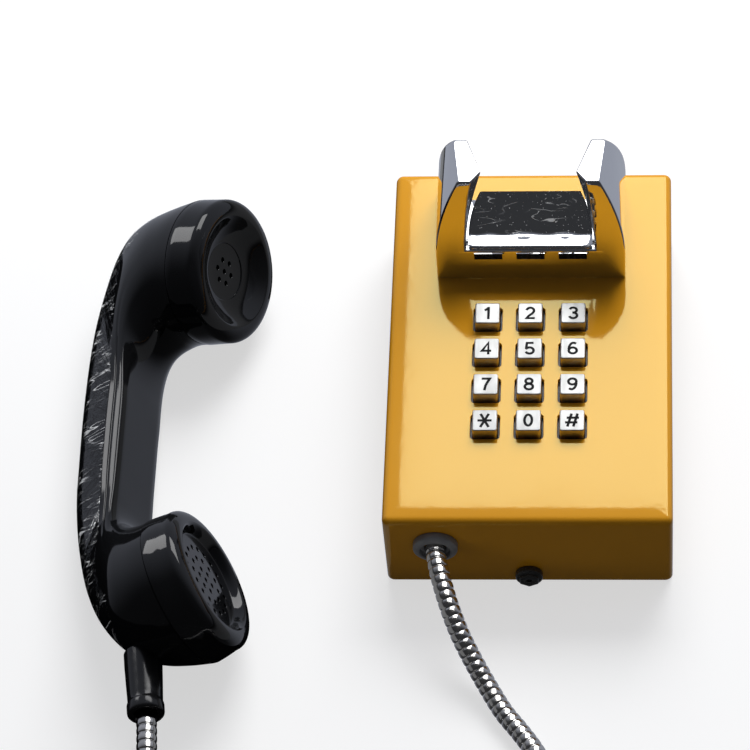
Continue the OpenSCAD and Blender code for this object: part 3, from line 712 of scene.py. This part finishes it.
def slab(x0, x1, y0, y1, z0, z1, r):
    """A block with rounded upright corners and a rounded upper edge."""
    w, h, at, edge = x1 - x0, y1 - y0, ((x0 + x1) / 2, (y0 + y1) / 2), r * 0.5
    levels = [(0.0, z0)] + [(edge * inward, z1 - edge * (1 - up)) for inward, up in quarter(3, 0)]
    return loft([[(*p, z) for p in rounded_rect(w - 2 * inset, h - 2 * inset, r - inset * 0.9, 4, at)]
                 for inset, z in levels])


def cradle(mats):
    wall_verts, wall_faces, dark = front_wall()
    verts, faces = join([(wall_verts, wall_faces), ear(1), ear(-1),
                         slab(-29, 29, 37.6, 73, BASE_Z + 0.02, 49.5, 0.8)])
    # Faces lining the slots take black steel: painted shade inside the slots.
    indices = [1 if k in dark else 0 for k in range(len(faces))]
    piece("chrome_cradle", verts, faces, [mats["chrome"], mats["black_steel"]], "root", "chrome", ["cradle"],
          angle=38, indices=indices)


# ---------- hook flap ----------

# The flap's lower edge as (y, z), its slope and its length up that slope, and its pin from that edge.
FLAP_EDGE, FLAP_ANGLE, FLAP_LEN = (35.2, 65.1), math.radians(32), 24.4
FLAP_ALONG = (math.cos(FLAP_ANGLE), math.sin(FLAP_ANGLE))
PIN_ALONG, PIN_BELOW = 3, 5
SPRING_Y = 52


def flap_half(t):
    return 26.4 - ease(t, 7, 0.0165) - ease(2.4 - min(t, 2.4), 0, 0.28)


def flap(mats):
    """Pressed flap: a plain upper part, a flatter roll near its lower edge, and a turned-down edge."""
    rng = np.random.default_rng(5)
    roll_end, roll_at, roll_width, skin_y, skin_z = 9, 6.3, 1.7, 1.0, 1.7
    n_roll, n_t, n_x = 33, 60, 64
    slope_at = [(0.0, 72), (0.4, 58), (0.8, 20), (1.2, 2), (1.6, -1), (6.2, -1), (7.4, 20), (9.2, 37.2),
                (14, 38.2), (FLAP_LEN, 38.6)]
    ts = np.concatenate([np.linspace(0, roll_end, n_roll + 1)[:-1],
                         np.linspace(roll_end, FLAP_LEN, n_t - n_roll)])
    slope = np.radians(np.interp(ts, *zip(*slope_at)))
    middle = (slope[1:] + slope[:-1]) / 2
    ys = np.concatenate([[0], np.cumsum(np.diff(ts) * np.cos(middle))])
    zs = np.concatenate([[0], np.cumsum(np.diff(ts) * np.sin(middle))])
    ys *= FLAP_ALONG[0] * FLAP_LEN / ys[-1]
    zs += (FLAP_ALONG[1] * FLAP_LEN - zs[-1]) * (ys / ys[-1])
    waves = [(rng.uniform(0.03, 0.09), rng.uniform(0.15, 0.55), rng.uniform(0, 6.3)) for _ in range(6)]
    top = []
    for t, y, z in zip(ts, ys, zs):
        half = flap_half(float(t))
        swell = roll_width * math.exp(-((t - roll_at) / roll_width) ** 2)
        for i in range(n_x + 1):
            across = -1 + 2 * i / n_x
            x = half * across
            wobble = swell * sum(a * math.sin(f * x + p) for a, f, p in waves)
            edge = 0.2 * max(0.0, (abs(across) - 0.985) / 0.015) ** 2
            top.append((x, FLAP_EDGE[0] + y, FLAP_EDGE[1] + z + wobble - edge))
    low = [(x, y + skin_y, z - skin_z) for x, y, z in top]
    base, cols, last = len(top), n_x + 1, len(top) - n_x - 1
    faces = grid_faces(len(ts) - 1, n_x)
    faces += [(base + a, base + d, base + c, base + b) for a, b, c, d in faces]
    for a in range(0, last, cols):
        b = a + n_x
        faces.append((a, a + cols, base + a + cols, base + a))
        faces.append((b, base + b, base + b + cols, b + cols))
    for a in range(n_x):
        b = last + a
        faces.append((a, base + a, base + a + 1, a + 1))
        faces.append((b, b + 1, base + b + 1, base + b))
    plate = piece("hook_flap_plate", top + low, faces, mats["flap_chrome"], "hook_flap", "chrome",
                  ["hook_flap"], angle=35)
    pin = Matrix.Translation((0, FLAP_EDGE[0] + PIN_ALONG * FLAP_ALONG[0] + PIN_BELOW * FLAP_ALONG[1],
                              FLAP_EDGE[1] + PIN_ALONG * FLAP_ALONG[1] - PIN_BELOW * FLAP_ALONG[0]))
    knuckle = [(1.6, -23.6), (2.5, -24), (2.8, -23.7), (2.8, 23.7), (2.5, 24), (1.6, 23.6)]
    boss = [(0, 69.0), (4.2, 69.0), (4.2, 57.5), (3.8, 57), (3.02, 57), (3.02, 61), (0, 61)]
    spigot = [(0, 69.2), (0.9, 69.2), (1.1, 69.4), (1.1, 70.6), (0, 70.6)]
    hidden = {
        "knuckle": (revolve(knuckle, 40, closed=True), pin @ Matrix.Rotation(math.radians(90), 4, "Y")),
        "web": (slab(-20, 20, -1.2, 1.2, 0, 2.2, 0.8),
                Matrix.Translation((0, 0, 1)) @ pin @ Matrix.Rotation(FLAP_ANGLE, 4, "X")),
        "boss": (revolve(boss, 40), Matrix.Translation((14, 50, 0))),
        "spigot": (revolve(spigot, 24), Matrix.Translation((0, SPRING_Y, 0)))}
    for name, (shape, place) in hidden.items():
        piece("hook_flap_" + name, *shape, mats["chrome"], "hook_flap", "chrome", place=place)
    return plate


def hook_spring(mats):
    """The spring under the flap, drawn at one length; the real one shortens as the flap goes down."""
    low, high, radius, wire, turns = 49.5, 70.6, 3, 0.35, 5
    rise = (high - low - 2 * wire) / turns
    path = np.array([(radius * math.cos(2 * math.pi * t), SPRING_Y + radius * math.sin(2 * math.pi * t),
                      low + wire + rise * t) for t in np.linspace(0, turns, 24 * turns + 1)])
    rings = [[tuple(p + wire * (c * u + d * v)) for c, d in circle(8, 1)]
             for p, u, v in zip(path, *carried_frames(path))]
    obj = piece("hook_spring_wire", *loft(rings), mats["zinc_steel"], "root", "zinc_steel", ["hook_spring"],
                angle=60)
    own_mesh(obj)


# ---------- keys ----------

def glyph(name):
    """Centre lines of a plain digit or sign, one unit tall."""
    if name == "1":
        return [[(-0.20, 0.74), (-0.10, 0.77), (0.0, 0.85), (0.05, 0.93)], [(0.07, 1.0), (0.07, 0.0)]]
    if name == "2":
        foot = [(0.13, 0.45), (-0.10, 0.26), (-0.25, 0.07), (0.31, 0.07)]
        return [oval(0.0, 0.69, 0.25, 0.24, 172, -28) + foot]
    if name == "3":
        return [oval(0.0, 0.725, 0.235, 0.205, 165, -88) + [(-0.06, 0.52)],
                oval(0.0, 0.285, 0.265, 0.225, 92, -165)]
    if name == "4":
        return [[(0.12, 0.0), (0.12, 0.95), (-0.30, 0.30), (0.32, 0.30)]]
    if name == "5":
        return [[(0.26, 0.93), (-0.18, 0.93), (-0.23, 0.50)] + oval(0.0, 0.315, 0.27, 0.25, 138, -160)]
    if name in ("6", "9"):
        lines = [oval(0.0, 0.31, 0.265, 0.24, 0, 360, 24), oval(0.05, 0.40, 0.315, 0.53, 178, 58)]
        return lines if name == "6" else [[(-x, 1 - y) for x, y in line] for line in lines]
    if name == "7":
        return [[(-0.27, 0.93), (0.28, 0.93), (0.10, 0.60), (0.0, 0.36), (-0.07, 0.0)]]
    if name == "8":
        return [oval(0.0, 0.735, 0.225, 0.195, 0, 360, 24), oval(0.0, 0.29, 0.27, 0.225, 0, 360, 24)]
    if name == "0":
        return [oval(0.0, 0.5, 0.245, 0.43, 0, 360, 30)]
    if name == "star":
        return [[(-0.43, 0.48), (0.43, 0.48)], [(-0.25, 0.0), (0.25, 0.96)], [(0.25, 0.0), (-0.25, 0.96)]]
    return [[(-0.29, 0.0), (-0.02, 1.0)], [(0.09, 0.0), (0.36, 1.0)], [(-0.44, 0.32), (0.36, 0.32)],
            [(-0.34, 0.68), (0.46, 0.68)]]


def stroke_prism(line, width, z0, z1):
    """An upright ribbon of the given width along a line of (x, y) points, which may close on itself."""
    p = np.array(line, float)
    closed = len(line) > 3 and np.linalg.norm(p[0] - p[-1]) < 1e-6
    if closed:
        p = p[:-1]
    n = len(p)
    steps = [p[(k + 1) % n] - p[k] for k in range(n)]
    steps = [step / np.linalg.norm(step) for step in steps]
    rings = []
    for k in range(n):
        after = steps[k] if closed or k < n - 1 else steps[k - 1]
        before = steps[k - 1] if closed or k > 0 else steps[k]
        mid = (before + after) / max(1e-6, np.linalg.norm(before + after))
        side = np.array([-mid[1], mid[0]]) * (width / 2 / max(0.5, float(mid @ before)))
        left, right = p[k] + side, p[k] - side
        rings.append([(*left, z0), (*right, z0), (*right, z1), (*left, z1)])
    if closed:
        return loft(rings + [rings[0]], caps=(False, False))
    return loft(rings)


def key(mats, i, lean):
    """A key: a flange under the panel, dark with painted shade, and a bevelled metal top with its mark,
    leaning a little.
    """
    x, y = key_xy(i)
    top, low, bevel, lean_above = 51.0, 40.3, 0.42, 49
    flange_top, stroke, stroke_depth, stroke_rise = low + 1.5, 1.12, 0.30, 0.015
    outlines = [(KEY_SIDE + 2.2, 1.0, low), (KEY_SIDE + 2.4, 1.0, low + 0.15),
                (KEY_SIDE + 2.4, 1.0, low + 1.3), (KEY_SIDE + 2.1, 1.0, flange_top),
                (KEY_SIDE + 0.02, 1.0, flange_top), (KEY_SIDE, 0.9, flange_top + 0.1),
                (KEY_SIDE, 0.9, top - bevel)]
    outlines += [(KEY_SIDE - 2 * bevel * inward, 0.9 - bevel * inward * 0.5, top - bevel + bevel * up)
                 for inward, up in quarter(4)]
    outlines.append((KEY_SIDE - 2 * bevel - 0.3, 0.6, top))

    def leaning(p):
        return (x + p[0], y + p[1], p[2] + (lean[0] * p[0] + lean[1] * p[1] if p[2] > lean_above else 0))

    cap_verts, cap_faces = loft([[leaning((*p, z)) for p in rounded_rect(side, side, r, 5)]
                                 for side, r, z in outlines])
    name = KEY_NAMES[i]
    size = {"star": 6.9, "hash": 6.5}.get(name, 6.3)
    marks = []
    for line in glyph(name):
        verts, faces = stroke_prism([(size * px, size * (py - 0.5)) for px, py in line], stroke,
                                    top - stroke_depth, top + stroke_rise)
        marks.append(([leaning(p) for p in verts], faces))
    verts, faces = join([(cap_verts, cap_faces), *marks])
    # The flange's faces take the marks' black: painted shade in the gap round the key.
    indices = [1 if max(cap_verts[v][2] for v in face) < flange_top + 0.2 else 0 for face in cap_faces]
    indices += [1] * (len(faces) - len(cap_faces))
    piece("keycap_" + name, verts, faces, [mats["key_metal"], mats["key_mark"]], "key_" + name, "key_metal",
          ["key_" + name], angle=28, indices=indices)


# ---------- gland and lock screw ----------

def gland(mats):
    profile = [(4.7, -12), (7.3, -12), (7.5, -11.7), (7.5, 0), (9.0, 0), (9.3, 0.2), (9.3, 2.6),
               (9.2, 2.85), (8.9, 3.05), (8.2, 3.45), (7.0, 3.98), (6.7, 4.0), (6.5, 3.9), (6.3, 3.5),
               (6.2, 2.4), (6.0, 2.15), (5.3, 2.1), (4.8, 2.0), (4.7, 1.8)]
    verts, faces = revolve(profile, 64, closed=True)
    place = Matrix.Translation((-38.4, -90, 29)) @ Matrix.Rotation(math.radians(90), 4, "X")
    piece("cord_gland_ring", verts, faces, mats["gland_black"], "root", "gloss_black", ["cord_gland"],
          angle=35, place=place)


def hexagon(r, z):
    return [(*p, z) for p in rounded_poly(circle(6, r, math.radians(30)), [0.35] * 6, 3)]


def lock_screw(mats):
    """A flanged hexagon head with a round dished socket, and its shank."""
    flange = revolve([(0, 0.1), (5.2, 0), (5.7, 0.4), (5.7, 2.2), (5.6, 2.7), (5.2, 3.1), (4.6, 3.25),
                      (0, 3.3)], 64)
    socket = [[(*p, z) for p in circle(24, r, math.radians(30))]
              for r, z in ((2.2, 4.42), (1.6, 4.3), (1.15, 4.0), (1.1, 2.7), (0.2, 2.5))]
    sides = [hexagon(r, z) for r, z in ((4.5, 3.0), (4.5, 3.9), (4.42, 4.15), (4.2, 4.35), (3.9, 4.42))]
    head = loft(sides + socket[:1], caps=(True, False))
    shank = revolve([(0, 0.2), (2.5, 0.2), (2.5, -11.6), (2.1, -12), (0, -12)], 32)
    verts, faces = join([flange, head, loft(socket, caps=(False, True)), shank])
    place = Matrix.Translation((0, -90, 6.2)) @ Matrix.Rotation(math.radians(90), 4, "X")
    obj = piece("lock_screw_head", verts, faces, mats["black_steel"], "root", "black_steel", ["lock_screw"],
                angle=32, place=place)
    mend(obj, 40, WELD)


# ---------- handset ----------

ROLL = math.radians(25)
HANDSET = Matrix(((math.cos(ROLL), 0, -math.sin(ROLL), -129.2), (0, 1, 0, -34.8),
                  (math.sin(ROLL), 0, math.cos(ROLL), 39.02), (0, 0, 0, 1)))
# How far a cap leans, how far it lies from the handset's middle, and the sides of its round shapes.
CAP_TILT, CAP_AT, CAP_SIDES = math.radians(14.5), 77.5, 96


def cap_place(end):
    """From a shape turned about Z, facing +Z, to a cap's place. End 1 is the ear, -1 the mouth."""
    tilt = Matrix.Rotation(-end * CAP_TILT, 4, "Z")
    face = Matrix.Rotation(math.radians(90), 4, "Y")
    return HANDSET @ Matrix.Translation((0, end * CAP_AT, 0)) @ tilt @ face


def holed_disc(radius, z, holes):
    """A disc with round holes, each with a small lip and a blind wall below it."""
    hole_r, lip_out, lip_down, depth, ring = 1.15, 0.1, 0.12, 2.0, 14
    loops, walls = [circle(CAP_SIDES, radius)], []
    for at in holes:
        mouth, bore = circle(ring, hole_r + lip_out, at=at), circle(ring, hole_r, at=at)
        loops.append(mouth)
        levels = ((mouth, z), (bore, z - lip_down), (bore, z - depth))
        walls.append(loft([[(*p, h) for p in loop] for loop, h in levels], caps=(False, True)))
    return join([filled(loops, z), *walls])


def cap(mats, kind, end, barrel, rim, bowl, floor_edge, holes, back):
    """A cap's shell, and a dish inside its rim with a holed floor. Outlines are (radius, height)."""
    bowl = [tuple(p) for p in spline(bowl, 4)]
    look = (mats["gloss_black"], "handset", "gloss_black")
    place = cap_place(end)
    shell = piece(kind + "_cap_shell", *revolve(barrel + rim + [bowl[0]], CAP_SIDES), *look, [kind + "_cap"],
                  angle=34, place=place)
    dish = join([revolve(bowl + floor_edge, CAP_SIDES), holed_disc(*floor_edge[-1], holes),
                 revolve(back, CAP_SIDES)])
    mend(piece(kind + "_cap_dish", *dish, *look, angle=34, place=place), 34, WELD)
    return shell


def ear_piece(mats):
    barrel = [(28.6, -14.5), (31.2, -14.5), (31.55, -14.3), (31.7, -13.8), (31.6, -11.0), (31.45, -6.6),
              (31.36, -4.4)]
    bowl = [(24.4, 1.17), (23.9, 0.95), (23.0, 0.3), (21.5, -0.9), (19.3, -2.5), (16.8, -3.8), (14.4, -4.6),
            (12.7, -4.95)]
    return cap(mats, "ear", 1, barrel, oval(24.6, -3.2, 6.76, 4.4, 4, 84), bowl,
               [(12.5, -5.05), (12.4, -5.35), (12.1, -5.4)], [(0, 0)] + circle(6, 5.2, math.radians(12)),
               [(28.6, -14.5), (28.4, -9.5), (26.0, -8.6), (12.8, -8.3), (0, -8.3)])


def mouth_piece(mats):
    barrel = [(28.6, -14.5), (32.0, -14.5), (32.4, -14.3), (32.5, -13.8), (32.3, -11.0), (31.9, -7.6),
              (31.5, -4.9)]
    bowl = [(24.8, 1.08), (24.0, 0.7), (23.0, -0.4), (22.1, -1.8), (21.5, -2.7)]
    return cap(mats, "mouth", -1, barrel, oval(25.2, -3.9, 6.3, 5.0, 6, 82), bowl,
               [(21.1, -3.0), (20.9, -3.02)], [(0, 0)] + circle(6, 5) + circle(12, 10) + circle(18, 15),
               [(28.6, -14.5), (28.4, -7.5), (26.0, -6.3), (21.5, -5.5), (0, -5.5)])


# Stations of the handle: inner point (m, s), outer point (m, s), half width, share of the grip's section.
STATIONS = [
    (-22.06, 50.6, -6.4, 111.9, 31.6, 0.0), (-25.2, 51.0, -14.0, 112.3, 30.4, 0.0),
    (-28.8, 50.8, -22.0, 112.6, 28.9, 0.03), (-32.4, 49.4, -31.0, 112.4, 27.2, 0.08),
    (-35.4, 47.3, -39.5, 110.9, 25.2, 0.15), (-37.8, 44.6, -47.2, 107.0, 23.1, 0.26),
    (-39.7, 41.0, -53.2, 99.9, 21.0, 0.42), (-40.9, 36.4, -57.8, 90.0, 19.2, 0.60),
    (-41.5, 30.5, -61.4, 77.8, 17.6, 0.78), (-41.6, 23.0, -64.4, 63.5, 16.4, 0.92),
    (-41.6, 15.0, -66.1, 47.5, 15.8, 1.0), (-41.6, 6.0, -66.9, 30.0, 15.6, 1.0),
    (-41.6, -3.0, -67.1, 11.0, 15.6, 1.0), (-41.6, -10.5, -66.8, -8.0, 15.6, 1.0),
    (-41.6, -18.0, -66.3, -26.0, 15.6, 1.0), (-41.6, -25.5, -64.3, -43.0, 15.7, 1.0),
    (-41.5, -32.5, -61.3, -58.0, 16.1, 0.95), (-41.2, -38.5, -57.8, -71.0, 17.0, 0.82),
    (-40.2, -43.2, -53.6, -82.0, 18.8, 0.62), (-38.3, -46.6, -48.8, -91.6, 21.2, 0.42),
    (-35.6, -48.6, -43.2, -99.4, 24.0, 0.26), (-32.4, -49.6, -35.6, -105.8, 26.8, 0.13),
    (-29.0, -50.0, -26.2, -109.6, 29.0, 0.05), (-25.6, -50.1, -16.2, -111.6, 30.9, 0.0),
    (-22.06, -50.0, -6.2, -112.5, 32.3, 0.0),
]
# The grip's section: its corners as (depth share, width share), each one's radius, and its angle on a ring.
GRIP_DEPTH, GRIP_HALF = 26.2, 15.6
GRIP_EDGE = [(0.0, 0.0), (0.0, 0.50), (0.2, 0.81), (0.68, 1.0), (0.81, 1.0), (0.82, 0.975), (0.83, 1.0),
             (0.97, 1.0), (1.0, 0.80), (1.0, 0.0)]
GRIP_ROUND = [0, 3.0, 2.6, 0.9, 0.05, 0.05, 0.05, 0.6, 0.8, 0]
GRIP_TURN = [0, 27, 49.5, 76.5, 94.5, 99, 103.5, 121.5, 144, 180]
RING = 80


def grip_section():
    """Half of the grip's outline as (depth share, width share), sampled to pair with points on a circle."""
    pts = [np.array([d * GRIP_DEPTH, w * GRIP_HALF]) for d, w in GRIP_EDGE]
    line, marks = [pts[0]], [0]
    for i in range(1, len(pts) - 1):
        a, b = pts[i - 1] - pts[i], pts[i + 1] - pts[i]
        a, b = a / np.linalg.norm(a), b / np.linalg.norm(b)
        corner = math.acos(float(a @ b)) / 2
        reach = min(GRIP_ROUND[i] / math.tan(corner), 3.2)
        r = reach * math.tan(corner)
        mid = (a + b) / np.linalg.norm(a + b)
        centre = pts[i] + mid * r / math.sin(corner)
        start, end = pts[i] + a * reach - centre, pts[i] + b * reach - centre
        for k in range(7):
            t = k / 6
            v = start * (1 - t) + end * t
            line.append(centre + v / np.linalg.norm(v) * r)
            if k == 3:
                marks.append(len(line) - 1)
    line.append(pts[-1])
    marks.append(len(line) - 1)
    line = np.array(line)
    runs = np.concatenate([[0], np.cumsum(np.linalg.norm(np.diff(line, axis=0), axis=1))])
    out = []
    for k in range(RING // 2 + 1):
        s = np.interp(180 * k / (RING // 2), GRIP_TURN, runs[marks])
        depth, half = [float(np.interp(s, runs, line[:, axis])) for axis in (0, 1)]
        out.append((depth / GRIP_DEPTH, half / GRIP_HALF))
    return out


def handle_rings():
    half = grip_section()
    rings = []
    for inner_m, inner_s, outer_m, outer_s, width, share in spline(STATIONS, 5):
        inner, outer = np.array([inner_m, inner_s]), np.array([outer_m, outer_s])
        ring = []
        for k in range(RING):
            j = min(k, RING - k)
            turn = math.pi * j / (RING // 2)
            d = (1 - share) * (1 - math.cos(turn)) / 2 + share * half[j][0]
            w = (1 - share) * math.sin(turn) + share * half[j][1]
            ring.append((*(outer + (inner - outer) * d), (w if k == j else -w) * width))
        rings.append(ring)
    return rings


def handle(mats):
    return piece("handset_shell", *loft(handle_rings()), mats["gloss_black"], "handset", "gloss_black",
                 ["handset_handle"], angle=60, place=HANDSET)


def film(mats):
    """Loose protective film on the grip's back, with wrinkles that start at its cut edge."""
    rng = np.random.default_rng(23)
    first, last, step, cols, spread_over = 14, 104, 0.55, 44, 40
    clearance, highest_fold = 0.14, 0.40
    rings = np.array(handle_rings())
    run = np.concatenate([[0], np.cumsum(np.linalg.norm(np.diff(rings[:, 0], axis=0), axis=1))])
    start, end = run[first], run[last]
    rows = int((end - start) / step)
    folds = [(rng.uniform(start, end), rng.uniform(-0.10, 0.16), rng.uniform(0.35, 0.9),
              rng.uniform(0.12, 0.42), rng.uniform(0.25, 0.95), rng.uniform(-0.004, 0.004)) for _ in range(75)]
    crimps = [(rng.uniform(0.4, 2.6), rng.uniform(0, 6.3), rng.uniform(0.03, 0.10)) for _ in range(8)]
    grid = np.zeros((rows + 1, cols + 1, 3))
    rise = np.zeros((rows + 1, cols + 1))
    for k in range(rows + 1):
        u = start + (end - start) * k / rows
        f = np.interp(u, run, np.arange(len(rings)))
        a = int(min(f, len(rings) - 2))
        ring = rings[a] * (1 - f + a) + rings[a + 1] * (f - a)
        share = (u - start) / (end - start)
        edge = 78 - 24 * max(0, 0.16 - share) / 0.16 - 20 * max(0, share - 0.86) / 0.14
        edge += 1.8 * math.sin(u * 0.9) * math.sin(u * 0.37 + 1)
        low = -46 + 3 * math.sin(u * 0.31)
        for i in range(cols + 1):
            across = i / cols
            at = ((low + (edge - low) * across) / 360 * RING) % RING
            b = int(at)
            grid[k, i] = ring[b] * (1 - at + b) + ring[(b + 1) % RING] * (at - b)
            away = 1 - across
            for u0, lean, width, height, reach, bend in folds:
                line = u0 + lean * spread_over * away + bend * (spread_over * away) ** 2
                fade = max(0.0, 1 - away / reach)
                rise[k, i] += height * fade ** 0.6 * math.exp(-((u - line) / width) ** 2)
            for freq, phase, height in crimps:
                rise[k, i] += height * math.sin(freq * u + phase) * across ** 6
    normal = np.cross(np.gradient(grid, axis=1), np.gradient(grid, axis=0))
    normal /= np.linalg.norm(normal, axis=2)[..., None]
    if np.sum((grid - rings.mean(axis=(0, 1))) * normal) < 0:
        normal = -normal
    skin = grid + normal * (clearance + np.minimum(rise, highest_fold))[..., None]
    return piece("grip_film", [tuple(p) for p in skin.reshape(-1, 3)], grid_faces(rows, cols), mats["film"],
                 "handset", "gloss_black", angle=60, place=HANDSET)


def sleeve(mats):
    tip, top = np.array([-27.0, -136.3]), np.array([-31.8, -101.0])
    reach = tip - top
    length = float(np.linalg.norm(reach))
    turn = math.atan2(reach[1], reach[0])
    place = (HANDSET @ Matrix.Translation((top[0], top[1], 0)) @ Matrix.Rotation(turn, 4, "Z")
             @ Matrix.Rotation(math.radians(90), 4, "Y"))
    profile = [(4.65, -12), (5.9, -12), (6, -11.7), (6, 6), (7.9, 6), (7.85, 12), (7.6, 20),
               (7.32, length - 8), (7.25, length - 6.2), (7.3, length - 5.6), (7.65, length - 5.0),
               (7.75, length - 4.4), (7.75, length - 1.4), (7.6, length - 0.7), (7.2, length - 0.2),
               (6.7, length), (5.6, length - 0.05), (5.1, length - 0.5), (4.7, length - 1.3),
               (4.65, length - 2.2)]
    verts, faces = revolve(profile, 56, closed=True)
    return piece("cord_sleeve_body", verts, faces, mats["black_rubber"], "handset", "black_rubber",
                 ["cord_sleeve"], angle=32, place=place)


# ---------- scene ----------

def studio_card(name, corners, mat):
    """A card that only mirror reflections see: where it is dark, it is painted shade in those reflections."""
    a, b, c, d = [Vector(p) for p in corners]
    n = 6
    verts = [tuple(a.lerp(b, i / n).lerp(d.lerp(c, i / n), k / n)) for k in range(n + 1) for i in range(n + 1)]
    obj = piece(name, verts, grid_faces(n, n), mat, None)
    obj.visible_camera = False
    obj.visible_diffuse = False
    obj.visible_transmission = False
    obj.visible_shadow = False


def floor(mats):
    half, n, below = 3.2, 24, 0.25
    line = [(-half + 2 * half * i / n) / MM for i in range(n + 1)]
    obj = piece("floor", [(x, y, -below) for y in line for x in line], grid_faces(n, n), mats["floor"], None)
    obj.visible_diffuse = False
    obj.visible_glossy = False


def dress_cad_nodes(mats):
    """Gives every CAD node the material of its slot, apart from the frame round the keys, which gets black
    steel as painted shade in the key gaps.
    """
    slots = {s["node"]: s["material_slot"] for s in frame["record"]["subparts"]}
    for name, obj in frame["nodes"].items():
        obj.data.materials.clear()
        # The frame round the keys gets black steel: painted shade seen through the key gaps.
        obj.data.materials.append(mats["black_steel" if name == "keypad_frame" else slots[name]])


def main():
    camera()
    mats = make_materials()
    hose = armoured_cord(mats)
    world()
    dress_cad_nodes(mats)
    housing(mats)
    cradle(mats)
    plate = flap(mats)
    hook_spring(mats)
    rng = np.random.default_rng(11)
    for i in range(12):
        key(mats, i, rng.uniform(-0.006, 0.006, 2))
    gland(mats)
    lock_screw(mats)
    wrap = film(mats)
    handset = [handle(mats), ear_piece(mats), mouth_piece(mats), sleeve(mats)]
    floor(mats)
    softbox("key_softbox", (0.2535, 0.88, 0.95), (0.2535, 0.88, 0.0), 0.763, 0.80, 4.25)
    softbox("back_fill", (0.10, 0.95, 1.0), (0.0, 0.1, 0.0), 0.9, 0.9, 5.5, glossy=False)
    softbox("low_fill", (0.0, -1.60, 0.07), (0.0, 0.0, 0.02), 2.6, 0.14, 2.1, glossy=False)
    softbox("flap_light", (-0.25, 0.80, 0.94), (-0.25, 0.80, 0.0), 1.1, 0.9, 5.0, only=[plate])
    softbox("side_softbox", (-0.86, 0.62, 0.56), (-0.10, 0.0, 0.03), 0.42, 0.36, 3.6, only=handset)
    softbox("film_light", (-0.80, 0.35, 0.80), (-0.16, 0.0, 0.03), 1.2, 0.42, 8.0, only=[wrap])
    softbox("hose_light", (0.22, 0.20, 0.93), (0.22, 0.10, 0.0), 0.75, 0.80, 4.2, only=[hose])
    # A card beside the housing's left side: painted shade in the mirror reflections there, with a painted glow
    # near the floor.
    studio_card("side_card", [(-64, -200, 0), (-64, 330, 0), (-64, 330, 44), (-64, -200, 44)],
                mats["side_card"])
    # Dark cards just under the floor, which mirror reflections see in place of the floor: painted shade round
    # the handset.
    under_cards = [(-330, -165, -330, 100), (-165, -98, -330, -80), (-165, -98, 55, 100)]
    for k, (x0, x1, y0, y1) in enumerate(under_cards):
        studio_card("under_card_%d" % k, [(x0, y0, -2), (x1, y0, -2), (x1, y1, -2), (x0, y1, -2)],
                    mats["dark_card"])
    bpy.context.scene.view_settings.view_transform = "Standard"


main()
